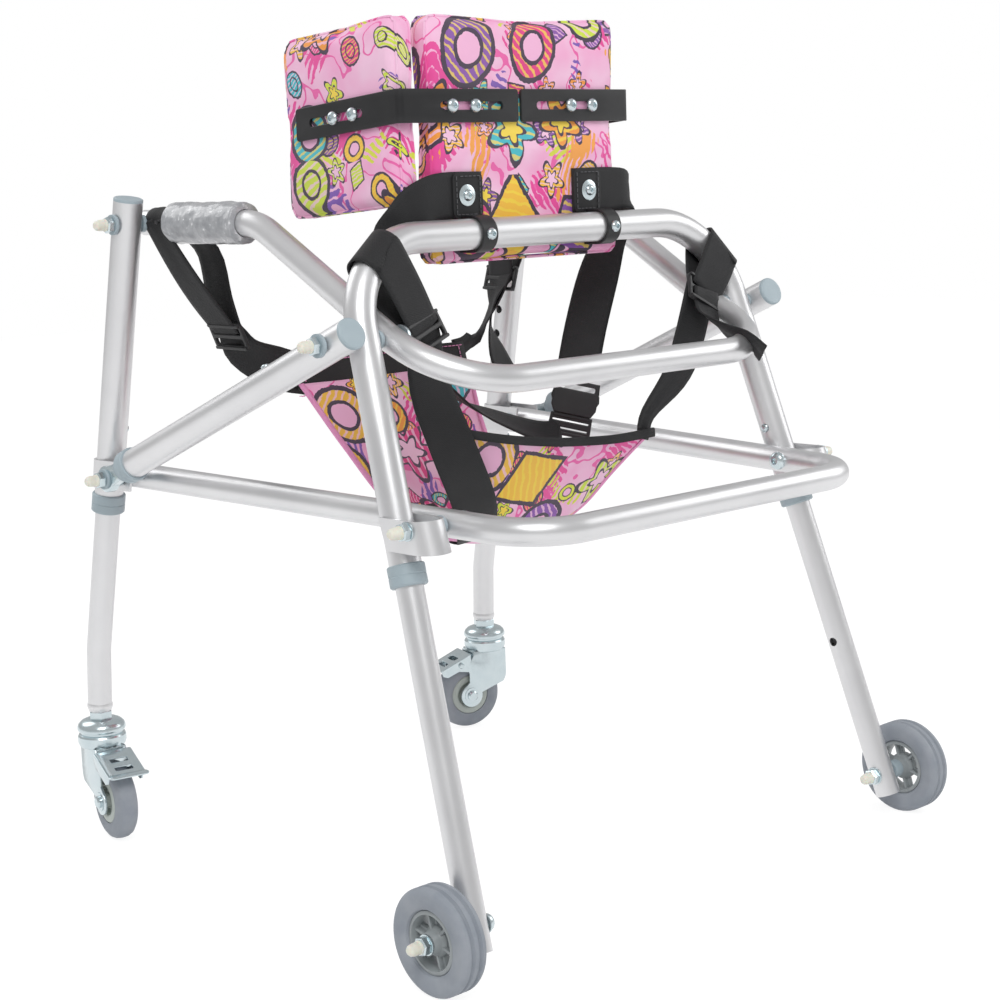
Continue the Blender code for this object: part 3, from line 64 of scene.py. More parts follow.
class Value:
    """A shader socket whose maths is written as plain Python."""

    def __init__(self, tree, socket):
        self.tree = tree
        self.socket = socket

    def maths(self, operation, *others):
        node = self.tree.nodes.new("ShaderNodeMath")
        node.operation = operation
        for slot, item in zip(node.inputs, (self, *others)):
            plug(self.tree, slot, item)
        return Value(self.tree, node.outputs[0])

    def __add__(self, other):
        return self.maths("ADD", other)

    def __sub__(self, other):
        return self.maths("SUBTRACT", other)

    def __rsub__(self, other):
        return (self * -1.0) + other

    def __mul__(self, other):
        return self.maths("MULTIPLY", other)

    def __truediv__(self, other):
        return self.maths("DIVIDE", other)

    def __rtruediv__(self, other):
        return self.power(-1.0) * other

    def __gt__(self, other):
        return self.maths("GREATER_THAN", other)

    def __lt__(self, other):
        return self.maths("LESS_THAN", other)

    __radd__ = __add__
    __rmul__ = __mul__

    def power(self, other):
        return self.maths("POWER", other)

    def sine(self):
        return self.maths("SINE")

    def cosine(self):
        return self.maths("COSINE")

    def size(self):
        return self.maths("ABSOLUTE")

    def most(self, other):
        return self.maths("MAXIMUM", other)

    def fade(self, low, high):
        """0 below the low value and 1 above the high one."""
        node = self.tree.nodes.new("ShaderNodeMapRange")
        plug(self.tree, node.inputs["Value"], self)
        node.inputs["From Min"].default_value = low
        node.inputs["From Max"].default_value = high
        return Value(self.tree, node.outputs[0])


def plug(tree, slot, item):
    """Links a value to a socket, or writes a plain number or colour there."""
    if isinstance(item, Value):
        tree.links.new(item.socket, slot)
    elif isinstance(item, tuple) and len(item) == 3 and slot.type == "RGBA":
        slot.default_value = (*item, 1)
    else:
        slot.default_value = item


class Finish:
    """A material whose nodes are added one call at a time."""

    def __init__(self, name, colour, roughness, metallic=0.0, **plain):
        self.material = bpy.data.materials.new(name)
        self.material.use_nodes = True
        self.tree = self.material.node_tree
        self.shader = self.tree.nodes["Principled BSDF"]
        self.put("Base Color", colour)
        self.put("Roughness", roughness)
        self.put("Metallic", metallic)
        for socket, value in plain.items():
            self.put(socket.replace("_", " "), value)

    def put(self, socket, value):
        plug(self.tree, self.shader.inputs[socket], value)

    def node(self, kind, settings=None, output=0, **inputs):
        """One node: its settings first, then what goes into its sockets, whose names take _ for a space."""
        made = self.tree.nodes.new("ShaderNode" + kind)
        for name, value in (settings or {}).items():
            setattr(made, name, value)
        for name, value in inputs.items():
            plug(self.tree, made.inputs[name.replace("_", " ")], value)
        return Value(self.tree, made.outputs[output])

    def place(self):
        return self.node("TexCoord", output="Object")

    def cloth_place(self):
        return self.node("TexCoord", output="UV")

    def noise(self, scale, detail=3.0, roughness=0.5, stretch=None, at=None):
        at = at or self.place()
        if stretch:
            at = self.node("Mapping", Vector=at, Scale=stretch)
        return self.node("TexNoise", output="Fac", Vector=at, Scale=scale, Detail=detail, Roughness=roughness)

    def mix(self, share, first, second):
        """A colour between two, as the share goes from 0 to 1."""
        made = self.tree.nodes.new("ShaderNodeMix")
        made.data_type = "RGBA"
        plug(self.tree, made.inputs[0], share)
        plug(self.tree, made.inputs[6], first)
        plug(self.tree, made.inputs[7], second)
        return Value(self.tree, made.outputs[2])

    def bump(self, height, distance, strength=1.0):
        """Feeds a height, in units of the distance in metres, to the shader's normal."""
        self.put("Normal", self.node("Bump", Height=height, Distance=distance, Strength=strength))

    def split(self, vector):
        made = self.tree.nodes.new("ShaderNodeSeparateXYZ")
        plug(self.tree, made.inputs[0], vector)
        return [Value(self.tree, output) for output in made.outputs]


def studio():
    scene = bpy.context.scene
    scene.view_settings.view_transform = "Standard"
    turn, tilt, roll = (math.radians(angle) for angle in CAMERA_TURNS)
    back = Vector((math.sin(turn) * math.cos(tilt), -math.cos(turn) * math.cos(tilt), math.sin(tilt)))
    right = Vector((math.cos(turn), math.sin(turn), 0))
    up = back.cross(right)
    across = right * math.cos(roll) + up * math.sin(roll)
    above = up * math.cos(roll) - right * math.sin(roll)
    camera = bpy.data.objects.new("camera", bpy.data.cameras.new("camera"))
    scene.collection.objects.link(camera)
    facing = Matrix((across, above, back)).transposed().to_4x4()
    camera.matrix_world = Matrix.Translation(CAMERA_AT) @ facing
    camera.data.lens = LENS
    camera.data.sensor_width = SENSOR
    scene.camera = camera

    world = bpy.data.worlds.new("studio")
    world.use_nodes = True
    scene.world = world
    tree = world.node_tree
    rays = tree.nodes.new("ShaderNodeLightPath")
    seen = Value(tree, rays.outputs["Is Camera Ray"]).most(Value(tree, rays.outputs["Is Transmission Ray"]))
    shine = Value(tree, rays.outputs["Is Glossy Ray"]) * GLOSS_SKY
    sky = tree.nodes["Background"]
    sky.inputs["Color"].default_value = (1, 1, 1, 1)
    plug(tree, sky.inputs["Strength"], seen.most(shine).most(PLAIN_SKY))

    for name, place, width, power in LAMPS:
        lamp = bpy.data.objects.new(name + "_lamp", bpy.data.lights.new(name, "AREA"))
        scene.collection.objects.link(lamp)
        lamp.data.shape = "DISK"
        lamp.data.size = width
        lamp.data.energy = power
        lamp.location = place
        lamp.rotation_mode = "QUATERNION"
        lamp.rotation_quaternion = (Vector(place) - LAMPS_AIM).to_track_quat("Z", "Y")

    bm = bmesh.new()
    bmesh.ops.create_grid(bm, x_segments=1, y_segments=1, size=6.0)
    mesh = bpy.data.meshes.new("floor")
    bm.to_mesh(mesh)
    floor = bpy.data.objects.new("floor", mesh)
    floor.location = (0, 0, -0.0004)
    scene.collection.objects.link(floor)
    paper = Finish("white_paper", (0.92, 0.92, 0.92), 0.8)
    tree = paper.tree
    glow = tree.nodes.new("ShaderNodeEmission")
    glow.inputs["Strength"].default_value = GLOW_STRENGTH
    rays = tree.nodes.new("ShaderNodeLightPath")
    blend = tree.nodes.new("ShaderNodeMixShader")
    seen = Value(tree, rays.outputs["Is Camera Ray"]).most(Value(tree, rays.outputs["Is Glossy Ray"]))
    plug(tree, blend.inputs[0], seen * FLOOR_GLOW)
    tree.links.new(paper.shader.outputs[0], blend.inputs[1])
    tree.links.new(glow.outputs[0], blend.inputs[2])
    tree.links.new(blend.outputs[0], tree.nodes["Material Output"].inputs["Surface"])
    mesh.materials.append(paper.material)


studio()


# The front frame: one aluminium tube bent twice, painted silver. Its legs lean forward and splay, and end in
# grey plastic collars. A bent strip round each leg takes the lower frame's bolt.
TUBE_OD = 0.0254
TUBE_BORE = 0.0226
INNER_OD = 0.022
INNER_BORE = 0.0192
ROUND = 48
X = Vector((1, 0, 0))
Z = Vector((0, 0, 1))
SIDES = {"L": -1, "R": 1}
CORNER_X = 0.2135
CROSSBAR_Y = 0.0191
CROSSBAR_Z = 0.5422
LEG_SPLAY = 0.0772
LEG_LEAN = 0.3226
FRONT_BEND = 0.078
FRONT_END_Z = 0.293
FRONT_BUTTON_Z = 0.355
PIVOT_F = Vector((0, -0.004, 0.467))
PIVOT_G = Vector((0, -0.078, 0.3306))
STRAP_Z = 0.3255
STRAP_TALL = 0.025
STRAP_WALL = 0.0022
COLLAR_OD = 0.0295
BOLT_R = 0.004
HEAD_TALL = 0.0056
NUT_TALL = 0.0063
OUTER_HOLE = 0.0084
HOLE_DEPTH = 0.02


def silver_paint():
    """Satin silver paint: a fine grain, with slow changes of gloss."""
    look = Finish("silver_paint", (0.74, 0.74, 0.75), 0.36, 0.8)
    grain = look.noise(1400.0, 2.0)
    slow = look.noise(14.0, 3.0)
    look.put("Base Color", look.mix(slow.fade(0.3, 0.7), (0.71, 0.71, 0.722), (0.78, 0.78, 0.79)))
    look.put("Roughness", 0.28 + slow * 0.09 + grain * 0.08)
    look.bump(grain, 0.00012, 0.35)
    return look.material


def grey_plastic():
    """Blue-grey moulded plastic, slightly matt."""
    look = Finish("grey_plastic", (0.39, 0.47, 0.51), 0.42)
    grain = look.noise(700.0, 3.0)
    cloud = look.noise(60.0, 2.0)
    look.put("Base Color", look.mix(cloud, (0.35, 0.43, 0.475), (0.43, 0.51, 0.55)))
    look.put("Roughness", 0.34 + grain * 0.2)
    look.bump(grain, 0.0001, 0.3)
    return look.material


def zinc_plate():
    """Bright zinc plating with a faint blue-green cast and fine streaks."""
    look = Finish("zinc_plate", (0.58, 0.67, 0.7), 0.24, 0.92)
    streak = look.noise(420.0, 4.0, 0.6, stretch=(1.0, 1.0, 0.12))
    cloud = look.noise(90.0, 3.0)
    look.put("Base Color", look.mix(cloud, (0.54, 0.63, 0.665), (0.66, 0.73, 0.75)))
    look.put("Roughness", 0.19 + streak * 0.1)
    look.bump(streak, 0.00004, 0.25)
    return look.material


def nylon():
    """The milky nylon of the dome caps on the bolts' ends."""
    look = Finish("milky_nylon", (0.82, 0.8, 0.7), 0.38, Subsurface_Weight=0.15, Subsurface_Scale=0.002)
    cloud = look.noise(260.0, 3.0)
    look.put("Base Color", look.mix(cloud, (0.76, 0.74, 0.62), (0.88, 0.87, 0.79)))
    look.put("Roughness", 0.3 + cloud * 0.15)
    look.bump(cloud, 0.0002, 0.4)
    return look.material


SILVER = silver_paint()
PLASTIC = grey_plastic()
ZINC = zinc_plate()
NYLON = nylon()


def piece(name, bm, look, body, nodes=(), edge=25):
    """A finished piece: its mesh in the part's own place, its material, its body and what it stands for."""
    mesh = bpy.data.meshes.new(name)
    bm.to_mesh(mesh)
    bm.free()
    mesh.shade_smooth()
    mesh.set_sharp_from_angle(angle=math.radians(edge))
    mesh.materials.append(look)
    made = bpy.data.objects.new(name, mesh)
    bpy.context.scene.collection.objects.link(made)
    if nodes:
        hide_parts(*nodes)
    if body:
        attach(made, body)
    return made


def points_of(geometry):
    """The points among the things that an operator made."""
    return [item for item in geometry if isinstance(item, bmesh.types.BMVert)]


def edges_of(geometry):
    """The edges among the things that an operator made."""
    return [item for item in geometry if isinstance(item, bmesh.types.BMEdge)]


def bent_tube(bm, corners, radii, outer, bore):
    """A tube through its corners: a ring's rims are pushed along each run and spun round each bend."""
    old = set(bm.faces)
    ahead = (corners[1] - corners[0]).normalized()
    start = Matrix.Translation(corners[0]) @ ahead.to_track_quat("Z", "Y").to_matrix().to_4x4()
    circle = bmesh.ops.create_circle(bm, cap_ends=True, segments=ROUND, radius=outer / 2, matrix=start)
    disc = circle["verts"][0].link_faces[0]
    ring = bmesh.ops.inset_region(bm, faces=[disc], thickness=(outer - bore) / 2, use_boundary=True,
                                   use_even_offset=True)["faces"]
    bmesh.ops.delete(bm, geom=[disc], context="FACES_ONLY")
    rims = list({e for f in ring for e in f.edges if e.is_boundary})
    made, moved, at = list(ring), Matrix(), corners[0]
    for number, corner in enumerate(corners[1:]):
        stop = corner
        if number < len(radii):
            leave = (corners[number + 2] - corner).normalized()
            turn = ahead.angle(leave)
            stop = corner - ahead * (radii[number] * math.tan(turn / 2))
        grown = bmesh.ops.extrude_edge_only(bm, edges=rims)["geom"]
        bmesh.ops.translate(bm, vec=stop - at, verts=points_of(grown))
        rims = [e for e in edges_of(grown) if e.is_boundary]
        moved = Matrix.Translation(stop - at) @ moved
        at = stop
        if number < len(radii):
            axis = ahead.cross(leave).normalized()
            centre = at + axis.cross(ahead) * radii[number]
            steps = max(2, round(turn / math.radians(5)))
            points = list({v for e in rims for v in e.verts})
            spun = bmesh.ops.spin(bm, geom=points + rims, cent=centre, axis=axis, angle=turn, steps=steps)
            rims = edges_of(spun["geom_last"])
            swing = Matrix.Translation(centre) @ Matrix.Rotation(turn, 4, axis) @ Matrix.Translation(-centre)
            moved = swing @ moved
            at = swing @ at
            ahead = leave
    end = points_of(bmesh.ops.duplicate(bm, geom=made)["geom"])
    bmesh.ops.transform(bm, matrix=moved, verts=end)
    bmesh.ops.remove_doubles(bm, verts=end + list({v for e in rims for v in e.verts}), dist=1e-5)
    settle(bm, old)


def settle(bm, old):
    """Turns the new faces outward."""
    bmesh.ops.recalc_face_normals(bm, faces=[f for f in bm.faces if f not in old])


def lathe(bm, centre, axis, profile, steps=ROUND):
    """A profile of (radius, height) pairs turned about an axis: closed on the axis, or round a bore."""
    old, old_points = set(bm.faces), set(bm.verts)
    axis = axis.normalized()
    side = axis.orthogonal().normalized()
    points = [bm.verts.new(centre + side * r + axis * h) for r, h in profile]
    lines = [bm.edges.new(pair) for pair in zip(points, points[1:])]
    if profile[0][0] > 0:
        lines.append(bm.edges.new((points[-1], points[0])))
    bmesh.ops.spin(bm, geom=points + lines, cent=centre, axis=axis, angle=2 * math.pi, steps=steps,
                   use_merge=True)
    bmesh.ops.remove_doubles(bm, verts=[v for v in bm.verts if v not in old_points], dist=2e-6)
    settle(bm, old)


def shank(bm, centre, axis, low, high, radius=BOLT_R, steps=24):
    """A plain round bar on an axis, between two distances from a point."""
    lathe(bm, centre, axis, [(0, low), (radius, low), (radius, high), (0, high)], steps)


def softened(profile, cut):
    """A closed profile with each corner cut twice, so that turned edges catch the light."""
    out = []
    count = len(profile)
    for i, (r, h) in enumerate(profile):
        before, after = Vector(profile[i - 1]), Vector(profile[(i + 1) % count])
        at = Vector((r, h))
        if r <= 0 or (i in (0, count - 1) and profile[0][0] <= 0):
            out.append((r, h))
            continue
        first, last = at - before, after - at
        if first.length < 3 * cut or last.length < 3 * cut or first.angle(last) < 0.35:
            out.append((r, h))
            continue
        one, two = at - first.normalized() * cut, at + last.normalized() * cut
        middle = (one + two + at * 2) / 4
        out += [tuple(one), tuple(middle), tuple(two)]
    return out


def leg_point(sign, z):
    """A point on the axis of a front leg at a height."""
    drop = CROSSBAR_Z - z
    return Vector((sign * (CORNER_X + drop * LEG_SPLAY), CROSSBAR_Y - drop * LEG_LEAN, z))


def collar(bm, end, down, reach=0.0085):
    """A plastic collar on an outer tube's end that closes it round the inner one."""
    rim = COLLAR_OD / 2
    seat = TUBE_OD / 2 - 0.0002
    lip = INNER_OD / 2 + 0.0003
    lathe(bm, end, down, [(seat, -reach), (rim - 0.0008, -reach), (rim, -reach + 0.001), (rim, -0.0008),
                          (rim - 0.0004, 0.0), (rim, 0.0008), (rim, reach - 0.0012), (rim - 0.0012, reach),
                          (lip, reach), (lip, 0.0001), (seat, 0.0001)])


def strap_plate(bm, middle, reach, splay, lean):
    """A strip bent round a tube: a half round on one side of it, and two arms along Y on the other."""
    old = set(bm.faces)
    half = TUBE_OD / 2 + 0.0002
    way = 1 if reach > 0 else -1
    turns = [math.pi * k / 24 for k in range(25)]
    line = [(half + splay * reach, reach)] + [(half * math.cos(t), -way * half * math.sin(t)) for t in turns]
    line.append((-half + splay * reach, reach))
    low = [bm.verts.new(middle + Vector((u, v - lean * STRAP_TALL / 2, -STRAP_TALL / 2))) for u, v in line]
    rim = [bm.edges.new(pair) for pair in zip(low, low[1:])]
    grown = bmesh.ops.extrude_edge_only(bm, edges=rim)["geom"]
    bmesh.ops.translate(bm, vec=(0, lean * STRAP_TALL, STRAP_TALL), verts=points_of(grown))
    fresh = [f for f in bm.faces if f not in old]
    bmesh.ops.recalc_face_normals(bm, faces=fresh)
    crown = max(fresh, key=lambda face: -way * face.calc_center_median().y)
    if crown.normal.y * way > 0:
        bmesh.ops.reverse_faces(bm, faces=fresh)
    bmesh.ops.solidify(bm, geom=fresh, thickness=-STRAP_WALL)
    settle(bm, old)


def nut(bm, centre, axis, start):
    """A chamfered hexagon nut."""
    lathe(bm, centre, axis, [(0, start), (0.0062, start), (0.0073, start + 0.0009), (0.0073, start + 0.0052),
                             (0.0061, start + NUT_TALL), (0, start + NUT_TALL)], 6)


def dome_cap(bm, centre, axis, start):
    """The nylon dome over a bolt's end, on a short collar."""
    lathe(bm, centre, axis, [(0, start), (0.0053, start), (0.0053, start + 0.0012), (0.0048, start + 0.0018),
                             (0.0048, start + 0.006), (0.0042, start + 0.0088), (0.0028, start + 0.0104),
                             (0.0012, start + 0.011), (0, start + 0.0111)], 24)


def washer(bm, centre, axis, low, high, width):
    """A flat ring on a bolt, with its edges just broken."""
    ring = [(BOLT_R, low), (width / 2, low), (width / 2, high), (BOLT_R, high)]
    lathe(bm, centre, axis, softened(ring, 0.0003), 32)


def dome_head(bm, centre, axis, seat, width, height):
    """A round bolt head, with a hexagon socket sunk in its crown."""
    r = width / 2
    dome = [(0, 0), (1, 0), (1, 0.25), (0.93, 0.55), (0.76, 0.82), (0.48, 1), (0.38, 1), (0.34, 0.5),
            (0, 0.45)]
    lathe(bm, centre, axis, [(r * across, seat + height * up) for across, up in dome], 24)


class Kit:
    """The tubes, strips, plastic, zinc and nylon shapes of one body, each kind made a piece of its own."""

    LOOKS = {"tube": (SILVER, "tube"), "strip": (SILVER, "tube"), "plastic": (PLASTIC, "hub"),
             "zinc": (ZINC, "zinc"), "cap": (NYLON, "zinc")}

    def __init__(self):
        self.tube, self.strip, self.plastic, self.zinc, self.cap = (bmesh.new() for _ in self.LOOKS)

    def finish(self, name, body, nodes):
        made = {}
        for part, (look, slot) in self.LOOKS.items():
            bm = getattr(self, part)
            if bm.faces:
                made[part] = piece(name + "_" + part, bm, look, body, () if made else nodes)
            else:
                bm.free()
        return made

    def bolt(self, centre, sign, outer, inner, head=0.016):
        """A bolt along X with a domed head at its inner seat, and a nut and nylon cap at its outer one."""
        out = X * sign
        shank(self.zinc, centre, out, inner, outer + 0.0065)
        dome_head(self.zinc, centre, -out, -inner, head, HEAD_TALL)
        nut(self.zinc, centre, out, outer)
        dome_cap(self.cap, centre, out, outer + NUT_TALL)


def drill(made, width, holes):
    """Cuts round holes, given as pairs of a middle and a direction, through one wall of a tube."""
    cutters = bmesh.new()
    for middle, out in holes:
        shank(cutters, middle, out, 0, HOLE_DEPTH, width / 2, 20)
    mesh = bpy.data.meshes.new("drill")
    cutters.to_mesh(mesh)
    cutters.free()
    cutter = bpy.data.objects.new("drill", mesh)
    bpy.context.scene.collection.objects.link(cutter)
    cut = made.modifiers.new("holes", "BOOLEAN")
    cut.object = cutter
    cut.operation = "DIFFERENCE"
    settled = bpy.data.meshes.new_from_object(made.evaluated_get(bpy.context.evaluated_depsgraph_get()))
    made.modifiers.clear()
    settled.name = made.name
    made.data = settled
    settled.set_sharp_from_angle(angle=math.radians(35))
    bpy.data.objects.remove(cutter)


def leg_down(sign):
    """The direction of a front leg, down to its wheel."""
    return (leg_point(sign, 0.1) - leg_point(sign, 0.5)).normalized()


def inboard(down, sign):
    """The direction across a tube that faces the walker's middle."""
    across = X * -sign
    return (across - down * across.dot(down)).normalized()


def build_front_frame():
    kit = Kit()
    line = [leg_point(-1, FRONT_END_Z), leg_point(-1, CROSSBAR_Z), leg_point(1, CROSSBAR_Z),
            leg_point(1, FRONT_END_Z)]
    bent_tube(kit.tube, line, [FRONT_BEND, FRONT_BEND], TUBE_OD, TUBE_BORE)
    for sign in SIDES.values():
        out = X * sign
        collar(kit.plastic, leg_point(sign, FRONT_END_Z), leg_down(sign))
        spot = leg_point(sign, STRAP_Z)
        strap_plate(kit.strip, Vector((spot.x, -0.083, STRAP_Z)), spot.y + 0.085, 0.0, LEG_LEAN)
        face = abs(spot.x) + TUBE_OD / 2 + 0.0024
        washer(kit.zinc, PIVOT_G, out, face, face + 0.0014, 0.015)
        shank(kit.zinc, PIVOT_G, out, face - 0.028, face + 0.007)
        nut(kit.zinc, PIVOT_G, out, face + 0.0013)
        dome_cap(kit.cap, PIVOT_G, out, face + 0.0075)
    tube = kit.finish("front_frame", "frame", ["front_frame"])["tube"]
    buttons = [(leg_point(sign, FRONT_BUTTON_Z), inboard(leg_down(sign), sign)) for sign in SIDES.values()]
    drill(tube, OUTER_HOLE, buttons)


build_front_frame()


# The handle frame: a thinner tube in a U, between the front legs in front and the posts behind, with two
# grips of grey foam still in their crinkled clear wrap. Long bolts pass through it, with plastic washers.
HANDLE_END_X = 0.2055
HANDLE_END_Y = 0.303
HANDLE_F_X = 0.192
HANDLE = [Vector((HANDLE_END_X, HANDLE_END_Y, 0.5583)), Vector((0.1995, 0.148, 0.5566)),
          Vector((HANDLE_F_X, -0.004, 0.467)), Vector((0.1882, -0.0768, 0.4334))]
HANDLE_RADII = [0.06, 0.05, 0.07]
GRIP_LENGTH = 0.094
GRIP_R = 0.018
PIVOT_A = Vector((0, 0.291, 0.558))
STRUT_X = 0.2476
POST_TOP_Z = 0.5803
KNEE_Z = 0.1727
POST_TOP = Vector((0.2325, 0.2868, POST_TOP_Z))
KNEE = Vector((0.2405, 0.3701, KNEE_Z))


def mirrored(point, sign):
    """The same point on the walker's left or right side."""
    return Vector((point.x * sign, point.y, point.z))


def post_point(sign, z):
    """A point on the axis of a rear post at a height."""
    share = (POST_TOP_Z - z) / (POST_TOP_Z - KNEE_Z)
    return mirrored(POST_TOP.lerp(KNEE, share), sign)


def wrapped_foam():
    """Pale grey foam under a clear film, with painted shade in the creases' hollows and a painted highlight
    on their ridges.
    """
    look = Finish("wrapped_grip", (0.6, 0.62, 0.64), 0.3, Coat_Weight=0.7, Coat_Roughness=0.12)
    creases = look.noise(95.0, 5.0, 0.62)
    fine = look.noise(260.0, 3.0)
    # painted shade: the foam is painted darker where the crease noise is low, in the creases' hollows
    foam_with_painted_shade = look.mix(creases.fade(0.35, 0.68), (0.27, 0.28, 0.3), (0.47, 0.48, 0.5))
    # painted highlight: the creases' ridges are painted near white, standing in for the film catching the
    # light
    look.put("Base Color", look.mix((creases + fine).fade(1.12, 1.3), foam_with_painted_shade, (0.85, 0.86, 0.88)))
    look.put("Roughness", 0.22 + fine * 0.25)
    look.bump(creases * 0.75 + fine * 0.25, 0.0016, 0.8)
    return look.material


def hand_grip(side, start, along, foam_with_painted_shade):
    """A foam sleeve on the handle frame, whose wrap is creased by two sizes of noise."""
    grip = bmesh.new()
    near = [(0.0115, 0), (0.0168, 0), (GRIP_R, 0.0012)]
    middle = [(GRIP_R, GRIP_LENGTH * k / 48) for k in range(1, 48)]
    far = [(GRIP_R, GRIP_LENGTH - 0.0012), (0.0168, GRIP_LENGTH), (0.0115, GRIP_LENGTH)]
    lathe(grip, start, along, near + middle + far, 64)
    for point in grip.verts:
        out = point.co - start
        out -= along * out.dot(along)
        if out.length > 0.015:
            crease = noise.noise(point.co * 105) * 0.0009 + noise.noise(point.co * 260) * 0.0004
            point.co += out.normalized() * (crease - 0.0004)
    piece("hand_grip_" + side, grip, foam_with_painted_shade, "handle", ["hand_grip_" + side], edge=60)


def build_handle_frame():
    kit = Kit()
    line = [mirrored(p, -1) for p in HANDLE] + HANDLE[::-1]
    bent_tube(kit.tube, line, HANDLE_RADII + HANDLE_RADII[::-1], INNER_OD, INNER_BORE)
    kit.finish("handle_frame", "handle", ["handle_frame"])
    foam_with_painted_shade = wrapped_foam()
    run = (HANDLE[0] - HANDLE[1]).normalized()
    post = post_point(1, PIVOT_A.z).x
    at_a = HANDLE_END_X + run.x / run.y * (PIVOT_A.y - HANDLE_END_Y)
    for side, sign in SIDES.items():
        out = X * sign
        hand_grip(side, mirrored(HANDLE[1] + run * (0.017 / run.y), sign), mirrored(run, sign), foam_with_painted_shade)
        kit = Kit()
        outer = post + TUBE_OD / 2 + 0.0002
        washer(kit.plastic, PIVOT_A, out, at_a + INNER_OD / 2 - 0.0002, post - TUBE_OD / 2 - 0.0002, 0.015)
        washer(kit.plastic, PIVOT_A, out, outer, outer + 0.0028, 0.0175)
        kit.bolt(PIVOT_A, sign, outer + 0.0027, at_a - INNER_OD / 2)
        kit.finish("handle_bolt_" + side, "handle", ["handle_bolt_" + side])
        kit = Kit()
        leg = leg_point(1, PIVOT_F.z).x
        seat = STRUT_X + TUBE_OD / 2
        inner = HANDLE_F_X - INNER_OD / 2
        washer(kit.plastic, PIVOT_F, out, HANDLE_F_X + INNER_OD / 2, leg - TUBE_OD / 2 - 0.0004, 0.015)
        washer(kit.plastic, PIVOT_F, out, leg + TUBE_OD / 2 + 0.0004, STRUT_X - TUBE_OD / 2, 0.015)
        seating = [(0.0042, seat), (0.008, seat), (0.0092, seat + 0.0012), (0.0092, seat + 0.004),
                   (0.0042, seat + 0.004)]
        lathe(kit.plastic, PIVOT_F, out, seating)
        kit.bolt(PIVOT_F, sign, seat + 0.0039, inner, 0.02)
        kit.finish("pivot_bolt_" + side, "frame", ["pivot_bolt_" + side])


build_handle_frame()


# The rear posts: outer tubes with a flat plastic cap, a row of button holes on the inner side, a collar at
# the bottom, and a bent strip at knee height whose arms hold the lower frame on a bolt.
PIVOT_B = Vector((0, 0.3, 0.3395))
LOWER_END = Vector((0.235, 0.312, 0.3398))
LOWER_RUN = 0.312 + 0.04335
LOWER_SPLAY = (0.235 - 0.2031) / LOWER_RUN
CLEVIS_X = LOWER_END.x + LOWER_SPLAY * (PIVOT_B.y - LOWER_END.y)
POST_END_Z = 0.312
REAR_BUTTON_Z = 0.378
HOLE_PITCH = 0.0254


def end_cap(bm, top, down):
    """A flat plastic cap with a soft rim on a tube's end."""
    r = TUBE_OD / 2
    cap = [(0, 0.0002), (r - 0.003, 0), (r - 0.0012, 0.0001), (r - 0.0002, 0.0007), (r, 0.0014), (r, 0.003),
           (r - 0.0015, 0.003), (r - 0.0015, 0.007), (0, 0.007)]
    lathe(bm, top, down, cap)


def post_down(sign):
    """The direction of a rear post, down to its caster."""
    return (post_point(sign, 0.2) - post_point(sign, 0.5)).normalized()


def build_rear_posts():
    for side, sign in SIDES.items():
        kit = Kit()
        top = mirrored(POST_TOP, sign)
        down = post_down(sign)
        bent_tube(kit.tube, [top + down * 0.003, post_point(sign, POST_END_Z)], [], TUBE_OD, TUBE_BORE)
        end_cap(kit.plastic, top, down)
        collar(kit.plastic, post_point(sign, POST_END_Z), down)
        middle = post_point(sign, PIVOT_B.z)
        splay = (abs(middle.x) - CLEVIS_X) / (middle.y - PIVOT_B.y)
        lean = (post_point(1, 0.5).y - post_point(1, 0.3).y) / 0.2
        strap_plate(kit.strip, middle, 0.288 - middle.y, sign * splay, lean)
        out = X * sign
        arm = TUBE_OD / 2 + STRAP_WALL
        shank(kit.zinc, PIVOT_B, out, CLEVIS_X - arm, CLEVIS_X + arm + 0.001)
        dome_head(kit.zinc, PIVOT_B, -out, -(CLEVIS_X - arm + 0.0004), 0.014, HEAD_TALL)
        name = "rear_post_" + side
        tube = kit.finish(name, "rear", [name])["tube"]
        spots = [post_point(sign, REAR_BUTTON_Z) - down * HOLE_PITCH * k for k in range(4)]
        drill(tube, OUTER_HOLE, [(spot, inboard(down, sign)) for spot in spots])


build_rear_posts()


# The lower frame: a thinner tube in a U whose front bar passes in front of the legs. It turns on the strips'
# bolts, and a domed bolt head shows on its inner side.
def build_lower_frame():
    run = Vector((-LOWER_SPLAY, -1, -(0.3398 - 0.3307) / LOWER_RUN))
    half = [LOWER_END, LOWER_END + run * (LOWER_END.y + 0.162)]
    kit = Kit()
    bent_tube(kit.tube, [mirrored(p, -1) for p in half] + half[::-1], [0.052, 0.052], INNER_OD, INNER_BORE)
    kit.finish("lower_frame", "lower", ["lower_frame"])
    at_g = LOWER_END.x + LOWER_SPLAY * (PIVOT_G.y - LOWER_END.y)
    plate = abs(leg_point(1, STRAP_Z).x) - TUBE_OD / 2 - 0.0026
    for side, sign in SIDES.items():
        kit = Kit()
        washer(kit.plastic, PIVOT_G, X * sign, at_g + INNER_OD / 2 + 0.0004, plate, 0.015)
        dome_head(kit.zinc, PIVOT_G, X * -sign, -(at_g - INNER_OD / 2 - 0.0003), 0.016, HEAD_TALL)
        shank(kit.zinc, PIVOT_G, X * sign, at_g - 0.0113, plate)
        kit.finish("lower_frame_bolt_" + side, "lower", ["lower_frame_bolt_" + side])


build_lower_frame()


# The struts: an outer tube from above the handle frame's bolt, with a flat plastic cap, and a rod with a
# plastic ring and an eye that slides out of it as the walker folds. A spring button holds the two.
STRUT_B = Vector((0.2616, 0.3, 0.3395))
STRUT_F = Vector((STRUT_X, -0.004, 0.467))
STRUT_BUTTON = 0.246
EYE_D = 0.023
EYE_THICK = 0.008
BUTTON_R = 0.0039


def strut_point(sign, from_b):
    """A point on the axis of a strut at a distance from its rear pivot."""
    return mirrored(STRUT_B + (STRUT_F - STRUT_B).normalized() * from_b, sign)


